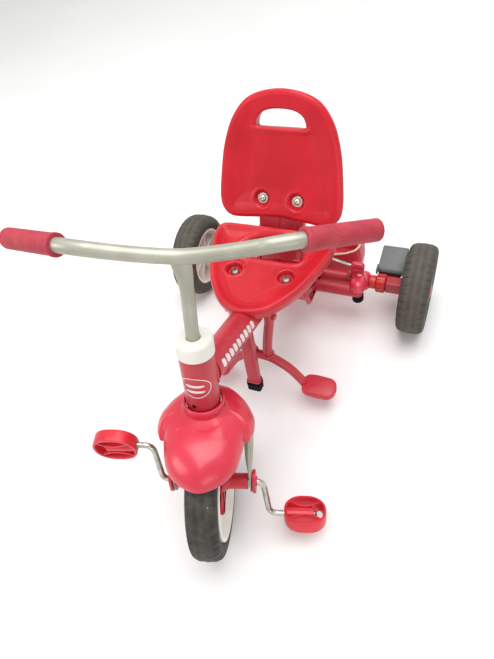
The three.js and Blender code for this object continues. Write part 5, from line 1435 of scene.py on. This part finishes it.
clamp, lug = clamp_body(), lug_top()
rivet = turned(rounded([[0, -2], [4.6, -2], [4.2, 1.2], [2.6, 2.4], [0, 2.6]],
                       [0, 0.4, 1.2, 1.2, 0], 4), 40)
ear_rivet = moved(rivet, rows=turn_x(np.pi / 2))
x, y, z = (CLAMP_LEG + CLAMP_AXLE) / 2 + CLAMP_UP * 19.2
for side, hand in SIDES.items():
    piece = fused(mesh_piece("clamp_skin_" + side, handed(clamp, hand), LAYOUT), 1.5, 16)
    finished(piece, "frame", clamp_plastic, "clamp_" + side)
    dressed("clamp_lug_" + side, handed(lug, hand), LAYOUT, "frame", clamp_plastic,
            sharp=50)
    arm_top = shifted(LAYOUT, x * hand, y, z, rows=turn_x(-0.42))
    dressed("clamp_rivet_" + side, rivet, arm_top, "frame", decal_film)
    dressed("ear_rivet_" + side, ear_rivet, shifted(LAYOUT, 106.6 * hand, 474.6, 111), "frame",
            old_steel)
print("clamp faces before remeshing:", len(clamp[1]))

# %% [markdown]
# ## What sits on the rear axle
# Outside the clamp come a smooth bush, a collar with moulded grips that carries the brake pedal
# behind the axle, and a square sleeve with a set screw. A rod runs through everything and a
# pressed flange keeps the wheel on. The collar's grips could be cut with a Boolean. A ripple in
# its radius needs no cut, and its flanks stay smooth.

# %% Bush, collar, sleeve and axle
def gripped_collar(radius=19.0, start=159.4, end=178.8, count=14, sides=168):
    """Rows round a sleeve whose radius drops between its grips by a smooth pulse."""
    angle = np.arange(sides) * 2 * np.pi / sides
    pulse = eased(np.cos(angle * count), -0.55, 0.05)
    rows = []
    for along, size, share in [(start, 5.6, 0), (start, 15.5, 0), (start + 1.2, 17.4, 0.3),
                               (start + 2.6, radius, 1), (end - 2.6, radius, 1),
                               (end - 1.2, 17.4, 0.3), (end, 15.5, 0), (end, 5.6, 0)]:
        r = size - 1.8 * share * (1 - pulse)
        rows.append(np.stack([along + 0 * angle, r * np.cos(angle), r * np.sin(angle)], -1))
    return grid(np.stack(rows), loop=True)


def square_sleeve():
    """A square pipe with round corners and rims, 31.5 mm long."""
    outline = resampled(oblong(13, 13, 4, 8), 128, loop=True)
    rims = [(179.4, 0.9), (179.8, 0.25), (180.6, 0), (209.6, 0), (210.6, 0.3), (210.9, 1.0)]
    rows = [(inset(outline, e), x) for x, e in rims]
    bore = 5.7 * outline / np.linalg.norm(outline, axis=1)[:, None]
    rows += [(bore, 210.9), (bore, 179.4)]
    return on_side(stacked(rows, loop=True))


bush, square = sleeve(13.6, 5.4, 146.3, 158.9, 1.2), square_sleeve()
pin_lug = prism([[12, -5], [31, -5], [32, 6], [30, 16.5], [23, 17.5], [17, 9], [12, 7]],
                166.2, 176.8, 1.0)
pin = turned(rounded([[0, 160.4], [2.5, 160.4], [2.5, 205.6], [0, 205.6]], [0, 0.5, 0.5, 0], 3),
             32, "x")
collar = merged(gripped_collar(), pin_lug, moved(pin, y=27, z=12.5))
screw = button_bolt(head=3.4, height=1.6, socket=1.5, washer=0, washer_height=0,
                    shank=2.2, length=3, sides=48)
screw = moved(screw, rows=turn_x(np.pi / 2))
for side, hand in SIDES.items():
    for name, shape, finish, slot in [("axle_bush", bush, ring_plastic, "red_plastic"),
                                      ("brake_collar", collar, ring_plastic, "red_plastic"),
                                      ("end_sleeve", square, frame_paint, "frame_paint")]:
        dressed(f"{name}_skin_{side}", handed(shape, hand), AXLE, "frame", finish,
                f"{name}_{side}")
    dressed("sleeve_screw_" + side, screw, shifted(AXLE, 195 * hand, -13.1, 1.5), "frame",
            old_steel)

half_axle = [[5, 253.6], [9, 253.6], [9.2, 254.6], [7.6, 256.2], [5.2, 256.4], [5, 257.2],
             [4.2, 258], [0, 258]]
axle_profile = np.concatenate([(np.array(half_axle) * [1, -1])[::-1], half_axle])
axle_profile = rounded(axle_profile, 0.4, 3)
dressed("rear_axle_skin", turned(axle_profile, 56, "x"), AXLE, "frame",
        bright_steel, "rear_axle")

# %% Stay rods
def stay_path():
    """From the cradle's cheek, down and out, and into the lug of the clamp."""
    chain = [[46.3, 465, 172], [52, 465.3, 170], [104, 477.4, 141], [112, 478, 138.5]]
    return resampled(rounded(chain, 3, 8), 60)


rod_head = rounded([[0, 45.8], [6.5, 45.8], [6.5, 47.4], [0, 47.8]], [0, 0.4, 0.6, 0], 3)
rod = merged(carried(circle(2.8, 20), stay_path()),
             moved(turned(rod_head, 36, "x"), y=465, z=172))
for side, hand in SIDES.items():
    dressed("stay_rod_skin_" + side, handed(rod, hand), LAYOUT, "frame",
            bright_steel, "stay_rod_" + side, sharp=50)
print("triangles so far:", made["triangles"])

# %% [markdown]
# ## Rear wheels
# Each rear rim is one moulding: a hub boss, a web near the outer face, stiffened behind by ribs,
# and a barrel under the tyre. A red cap covers the axle's end. The rim is turned in one profile,
# and one thin wall is repeated round it for the ribs, since they run straight into its faces.

# %% Rims and hub caps
def rear_rim():
    """The turned rim in the wheel's own frame, outwards along +X, and eight ribs inside it."""
    profile = rounded([[5.7, -22], [13, -22], [14.5, 9], [52.7, 9], [56.6, -24], [61.6, -24],
                       [61.6, 24], [57.5, 24], [55.2, 14], [5.7, 14]],
                      [0.4, 1.5, 4, 4, 0.8, 0.8, 1.4, 1.4, 3, 0.4], 5, loop=True)
    rim = turned(profile, 144, "x", loop=True)
    rib = box_shape([-14, -0.9, 12], [10, 0.9, 55], 0.7, 0.5)
    return merged(rim, *[moved(rib, rows=turn_x(k * np.pi / 4 + 0.2)) for k in range(8)])


def hub_cap():
    """A domed cap with a step."""
    profile = rounded([[0, 20.3], [10, 20.3], [10, 14.3], [17, 14.3], [17, 20.5], [14.4, 25],
                       [8.5, 27], [0, 27]], [0, 0.5, 0.4, 0.8, 2.5, 2, 2, 0], 5)
    return turned(profile, 96, "x")


for side, hand in SIDES.items():
    place = shifted(AXLE, x=WHEEL_MIDDLE * hand)
    for name, shape, finish, slot in [("rear_rim", rear_rim(), rim_plastic, "white_plastic"),
                                      ("hub_cap", hub_cap(), fitting_plastic, "red_plastic")]:
        dressed(f"{name}_skin_{side}", handed(shape, hand), place, "rear_wheel_" + side,
                finish, f"{name}_{side}")

# %% [markdown]
# ## Brake pedals
# Each pedal is a small moulded tray, hollow below, that rocks on a pin behind the collar. Its
# top has raised ribs for grip, and its front lip is coloured dark grey as painted shade under
# the tray's front edge. A block could be hollowed from below. An open sheet with a wall grown on
# it is simpler and has an even wall.

# %% Brake pedals
def brake_tray():
    """The tray's top as a sheet, its side outline swept across and lowered a little at both
    edges, and apart from it the two cheeks and seven ribs."""
    top = np.array([[505, 100], [505, 107.5], [508, 110.4], [532, 116.4], [556.5, 122],
                    [559.6, 120.5], [560, 117]])
    outline = resampled(rounded(top, [0, 2, 3, 0, 3, 1.5, 0], 5), 60)
    across = [(160.0, 0.9), (160.25, 0.2), (161.2, 0), (204.8, 0), (205.75, 0.2), (206.0, 0.9)]
    skin = []
    for x, drop in across:
        line = outline - [0, drop]
        skin.append(np.stack([0 * line[:, 0] + x, line[:, 0], line[:, 1]], -1))
    sheet = grid(np.stack(skin), ring=False)
    cheek = np.array([[505, 99], [527, 96], [535, 104], [558, 113], [560, 117], [559.6, 120.5],
                      [556.5, 121.6], [532, 116], [508, 110], [505, 107.5]])
    cheeks = [prism(cheek, low, high, 0.5) for low, high in ((160.1, 163), (203, 205.9))]
    ribs = [carried(oblong(1.4, 1.3, 0.6, 4), [[166, y, 0.24 * (y - 508) + 111.2],
                                               [200, y, 0.24 * (y - 508) + 111.2]])
            for y in np.linspace(514, 549, 7)]
    return sheet, merged(*cheeks, *ribs)


sheet, details = brake_tray()
lip = box_shape([162, 500.6, 96.8], [204, 505.3, 109.6], 1.8, 1.6)
flange = box_shape([156.5, 492, 108.5], [159.8, 508, 121.5], 1.4, 1.2)
for side, hand in SIDES.items():
    body = f"brake_{side}_body"
    cover = mesh_piece("brake_tray_" + side, handed(sheet, hand), LAYOUT, sharp=50,
                       close=False)
    finished(walled(cover, 2.4, -1 if hand > 0 else 1), body, grey_plastic,
             "brake_pedal_" + side)
    dressed("brake_ribs_" + side, handed(details, hand), LAYOUT, body,
            grey_plastic)
    # The lip is dark grey as painted shade under the tray's front edge.
    dressed("brake_lip_" + side, handed(lip, hand), LAYOUT, body, painted_shade_plastic)
    dressed("brake_flange_" + side, handed(flange, hand), LAYOUT, body,
            grey_plastic)
print("triangles so far:", made["triangles"])

# %% [markdown]
# ## Bag behind the seat
# A small open bag of coated cloth hangs behind the cradle, with a cream piping round its rim.
# Cloth sags between its corners and its seams pucker, so the walls are a rounded rectangle whose
# depth swells at mid-height, with small ripples that grow towards the rim.

# %% Bag
BAG_HALF, BAG_DEPTH, BAG_LOW, BAG_WALL = 121.0, 78.0, 62.0, 2.5
BAG_MIDDLE = 512.3 + BAG_DEPTH / 2


def bag_ring(share, inwards, count=320):
    """The square root of a cosine and a sine draws the rounded outline; the rim is low in the
    middle and high at the corners, and creases are narrow waves along the wall."""
    angle = np.arange(count) * 2 * np.pi / count
    rooted = [np.sign(v) * np.abs(v) ** 0.5 for v in (np.cos(angle), np.sin(angle))]
    half = np.array([BAG_HALF, BAG_DEPTH / 2]) - inwards
    belly = 1 - 0.035 * np.abs(2 * share - 1) ** 2 - 0.02 * share
    foot = 1 - 0.16 * (1 - eased(share, -0.02, 0.16))
    waves = 0.6 * np.sin(angle * 23 + 3 * share) * np.sin(angle * 7 + 1.0)
    waves = waves * eased(share, 0.25, 1.0)
    x = (half[0] * rooted[0] * belly + waves * np.cos(angle)) * foot
    y = (half[1] * rooted[1] * belly + waves * np.sin(angle)) * foot
    rim = 112 + 20 * (x / BAG_HALF) ** 2
    height = BAG_LOW + 0.6 + (rim - BAG_LOW) * share + inwards * (1 - share)
    return np.stack([x, y + BAG_MIDDLE, height], -1)


def bag_skin(rows=34):
    """Outside from the floor to the rim, over the rim, and down the inside to the floor."""
    shares = np.linspace(0, 1, rows) ** 1.2
    outside = [bag_ring(s, 0.6) for s in shares]
    inside = [bag_ring(s, BAG_WALL) for s in shares[::-1]]
    return grid(np.stack(outside + inside))


dressed("bag_skin", bag_skin(), LAYOUT, "frame", bag_vinyl, "bag", sharp=60)
rim_line = bag_ring(1.0, 0.6 + BAG_WALL / 2, 240)
piping = carried(circle(2.1, 14), rim_line + [0, 0, 1.2], loop=True, caps=False)
dressed("bag_piping", piping, LAYOUT, "frame", piping_vinyl)
print("bag rim from", rim_line[:, 2].min().round(1), "to", rim_line[:, 2].max().round(1))

# %% [markdown]
# ## Front post and footrest
# A post of rectangular tube stands under the main tube on a rubber foot, with a pressed collar
# just above the foot. The footrest hangs from a pin through the main tube: two bent uprights
# that come together, a crossbar, and an arm out to a moulded pad on each side. Outlines stacked
# at several heights draw the post, its foot and the pads, and the bent bars are carried circles.

# %% Post and its foot
def post_skin():
    """A rectangular tube with rounded corners, from inside the foot up into the main tube."""
    outline = resampled(oblong(11, 7.5, 3, 6), 96, loop=True)
    return stacked([(outline, -122.4), (outline, 28)])


dressed("footrest_post_skin", post_skin(), POST, "frame", frame_paint,
        "footrest_post")
foot = resampled(oblong(13.3, 9.8, 5, 8), 120, loop=True)
hollow = resampled(oblong(11.3, 7.8, 3.2, 8), 120, loop=True)
foot_steps = [(2.2, -126.7), (0.8, -126.4), (0, -125.2), (0, -112), (-0.5, -111.4),
              (-0.5, -108.6), (0, -108), (0, -105.4), (0.6, -104.7)]
foot_rows = [(inset(foot, e), z) for e, z in foot_steps]
foot_rows += [(inset(hollow, -0.2), -104.7), (hollow, -105.2), (hollow, -122.6)]
dressed("post_cap_skin", stacked(foot_rows), POST, "frame", black_rubber_and_hole_shade,
        "post_cap", sharp=50)
collar_steps = [(0.9, -103.9), (0.1, -103.4), (0.1, -101.6), (0.9, -101.1)]
collar_rows = [(inset(foot, e), z) for e, z in collar_steps]
collar_rows += [(inset(hollow, 0.25), z) for z in (-101.1, -103.9)]
dressed("post_collar", stacked(collar_rows, loop=True), POST, "frame", frame_paint)

# %% Footrest frame
TUBE_HANG, UPRIGHT_FOOT, WELD_HEIGHT = 32.2, 15.3, -115.9
FOOTREST_RADIUS, PAD_PLACE = 8.6, (106.5, -196.0)


def footrest_paths():
    """One bar from pad to pad with six soft bends, and an upright on each side of the tube that
    closes in towards the bar."""
    half = np.array([[17.3, -125], [52, -150], [71, -180], [78.8, -196]])
    bar = np.concatenate([half[::-1] * [-1, 1], half])
    bar = resampled(rounded(np.stack([bar[:, 0], 0 * bar[:, 0], bar[:, 1]], -1),
                            [0, 16, 20, 14, 14, 20, 16, 0], 12), 150)
    upright = np.array([[TUBE_HANG, 12], [TUBE_HANG, -12], [22, -62], [UPRIGHT_FOOT, -104],
                        [UPRIGHT_FOOT, -125]])
    upright = resampled(rounded(np.stack([upright[:, 0], 0 * upright[:, 0], upright[:, 1]], -1),
                                [0, 14, 30, 16, 0], 10), 70)
    return bar, upright


bar_line, upright_line = footrest_paths()
round_tube = circle(FOOTREST_RADIUS, 40)
upright_right = carried(round_tube, upright_line, up=(0, 1, 0))
tube_end_cap = turned(rounded([[0, 10], [FOOTREST_RADIUS, 10], [FOOTREST_RADIUS, 14], [6, 16.6],
                               [0, 17]], [0, 0.2, 3, 2, 0], 5), 40)
ends = merged(*[moved(tube_end_cap, x=s * TUBE_HANG) for s in (-1, 1)])
pin_head = rounded([[0, 39.5], [7, 39.5], [7, 42.6], [5.4, 44.6], [0, 44.8]],
                   [0, 0.3, 1.4, 1.2, 0], 5)
pin_bar = rounded([[0, -33], [4, -33], [4, 33], [0, 33]], [0, 0.3, 0.3, 0], 2)
head = turned(pin_head, 48, "x")
footrest_skin = merged(carried(round_tube, bar_line, up=(0, 1, 0)), upright_right,
                       flipped(upright_right), ends, turned(pin_bar, 32, "x"), head, flipped(head))
dressed("footrest_frame_skin", footrest_skin, FOOTREST, "footrest", frame_paint,
        "footrest_frame")
weld_turn = np.linspace(0, 2 * np.pi, 60)[:-1]
for side, hand in SIDES.items():
    weld_ring = np.stack([9.4 * np.cos(weld_turn) + hand * UPRIGHT_FOOT, 9.4 * np.sin(weld_turn),
                          0 * weld_turn + WELD_HEIGHT], -1)
    weld = carried(circle(1.9, 12), weld_ring, loop=True, caps=False)
    dressed("footrest_weld_" + side, weld, FOOTREST, "footrest", frame_paint)

# %% Foot pads
def foot_pad():
    """A moulded pad 64 mm long: flat towards the tube and round at its outer end, with a softly
    domed top whose height falls off with the square of the distance from the middle."""
    turn = np.linspace(0, np.pi / 2, 12)
    end = np.stack([12 + 20 * np.cos(turn) ** 0.8, 21.5 * np.sin(turn) ** 0.9], -1)
    inner = np.array([[-6, 22], [-22, 20.5], [-30, 15], [-32, 7]])
    right = np.concatenate([end, inner])
    outline = flowing(np.concatenate([right, (right * [1, -1])[::-1][:-1]]), 160, loop=True)
    edge = [(4.2, 0.0), (2.0, 0.5), (0.7, 1.6), (0, 3.4)]
    rows = [(outline * (1 - depth / 24), -9 + rise) for depth, rise in [(12.2, 0.0)] + edge]
    rows += [(outline * (1 - depth / 24), 6.6 - rise) for depth, rise in edge[::-1]]
    for share in (0.78, 0.66, 0.5, 0.34, 0.16, 0.02):
        rows.append((outline * share, 6.6 + 2.4 * (1 - (share / 0.84) ** 2)))
    return stacked(rows)


pad = foot_pad()
for side, hand in SIDES.items():
    place = shifted(FOOTREST, x=PAD_PLACE[0] * hand, z=PAD_PLACE[1])
    dressed("footrest_pad_skin_" + side, handed(pad, hand), place, "footrest",
            pad_plastic, "footrest_pad_" + side, sharp=60)
print("triangles so far:", made["triangles"])

# %% [markdown]
# ## Small marks
# A drain hole low on the head tube, a black disc whose black is painted shade, a thin pale oval
# where a badge would sit, and a row of plain pale blocks along each side of the main tube. The
# oval and the blocks are films 0.14 mm thick that follow their tubes. An image would need the
# tubes unwrapped; instead each film is drawn flat and wrapped by turning distance across the tube
# into an angle round it.

# %% Films on the tubes
FILM = 0.14


def wrapped(flat, radius, lift):
    """Flat points become points on a cylinder along Z: the angle is distance over radius."""
    angle = flat[..., 0] / radius - np.pi / 2
    r = radius + lift
    return np.stack([r * np.cos(angle), r * np.sin(angle), flat[..., 1]], -1)


def oval_ring(half_width, half_height, line, middle, count=160):
    """A closed oval line as four rows: its two edges on the film and the same just below it."""
    angle = np.arange(count) * 2 * np.pi / count
    rows = []
    for depth, lift in [(0, 0.0), (0, FILM), (line, FILM), (line, 0.0)]:
        flat = np.stack([(half_width - depth) * np.cos(angle),
                         (half_height - depth) * np.sin(angle) + middle], -1)
        rows.append(wrapped(flat, HEAD_RADIUS, lift))
    return grid(np.stack(rows), loop=True)


# The drain hole is a black disc: its black is painted shade of the hole's inside.
hole_rim = moved(turned(rounded([[0, -0.4], [3.0, -0.4], [3.2, 0.5], [2.6, 0.8], [0, -0.2]],
                                [0, 0.2, 0.3, 0.2, 0], 3), 36), rows=turn_x(np.pi / 2))
dressed("drain_hole", hole_rim, shifted(HEAD, -1.5, -24.45, 167, rows=turn_z(-0.06)), "frame",
        black_rubber_and_hole_shade)

tube_rows = np.stack([[1.0, 0, 0], np.cross(TUBE_RUN, [1.0, 0, 0]), TUBE_RUN], 1)
TUBE = shifted(LAYOUT, *tube_start, rows=tube_rows)


def film_block(start, end, middle, half_width, radius, slant=0.0, count=24):
    """A thin block with eased ends along a tube, wrapped on to it; a slant shifts its far end
    round the tube."""
    along = np.linspace(0, 1, count)
    width = half_width * np.sin(np.pi * np.clip(along, 0.02, 0.98)) ** 0.2
    lean = middle + slant * (2 * along - 1)
    height = start + (end - start) * along
    edges = [(-1, 0.0)] + [(edge, FILM) for edge in np.linspace(-1, 1, 11)] + [(1, 0.0)]
    rows = [wrapped(np.stack([lean + edge * width, height], -1), radius, lift)
            for edge, lift in edges]
    return grid(np.stack(rows, 1))


badge = merged(oval_ring(24, 18, 1.2, 203),
               *[film_block(z, z + 4, 0, 14, HEAD_RADIUS) for z in (194.5, 204.5)])
dressed("badge_oval", badge, shifted(HEAD, rows=turn_z(10 * DEGREE)), "frame",
        decal_film)
blocks = [film_block(z, z + 9.5, hand * 29.0, 6.8, TUBE_RADIUS, hand * 1.2)
          for hand in (-1, 1) for z in np.arange(10, 120, 13)]
dressed("tube_stripes", merged(*blocks), TUBE, "frame", decal_film)
print("blocks on the main tube:", len(blocks))

# %% Measure and finish
print("pieces made:", made["pieces"], "triangles before modifiers:", made["triangles"])
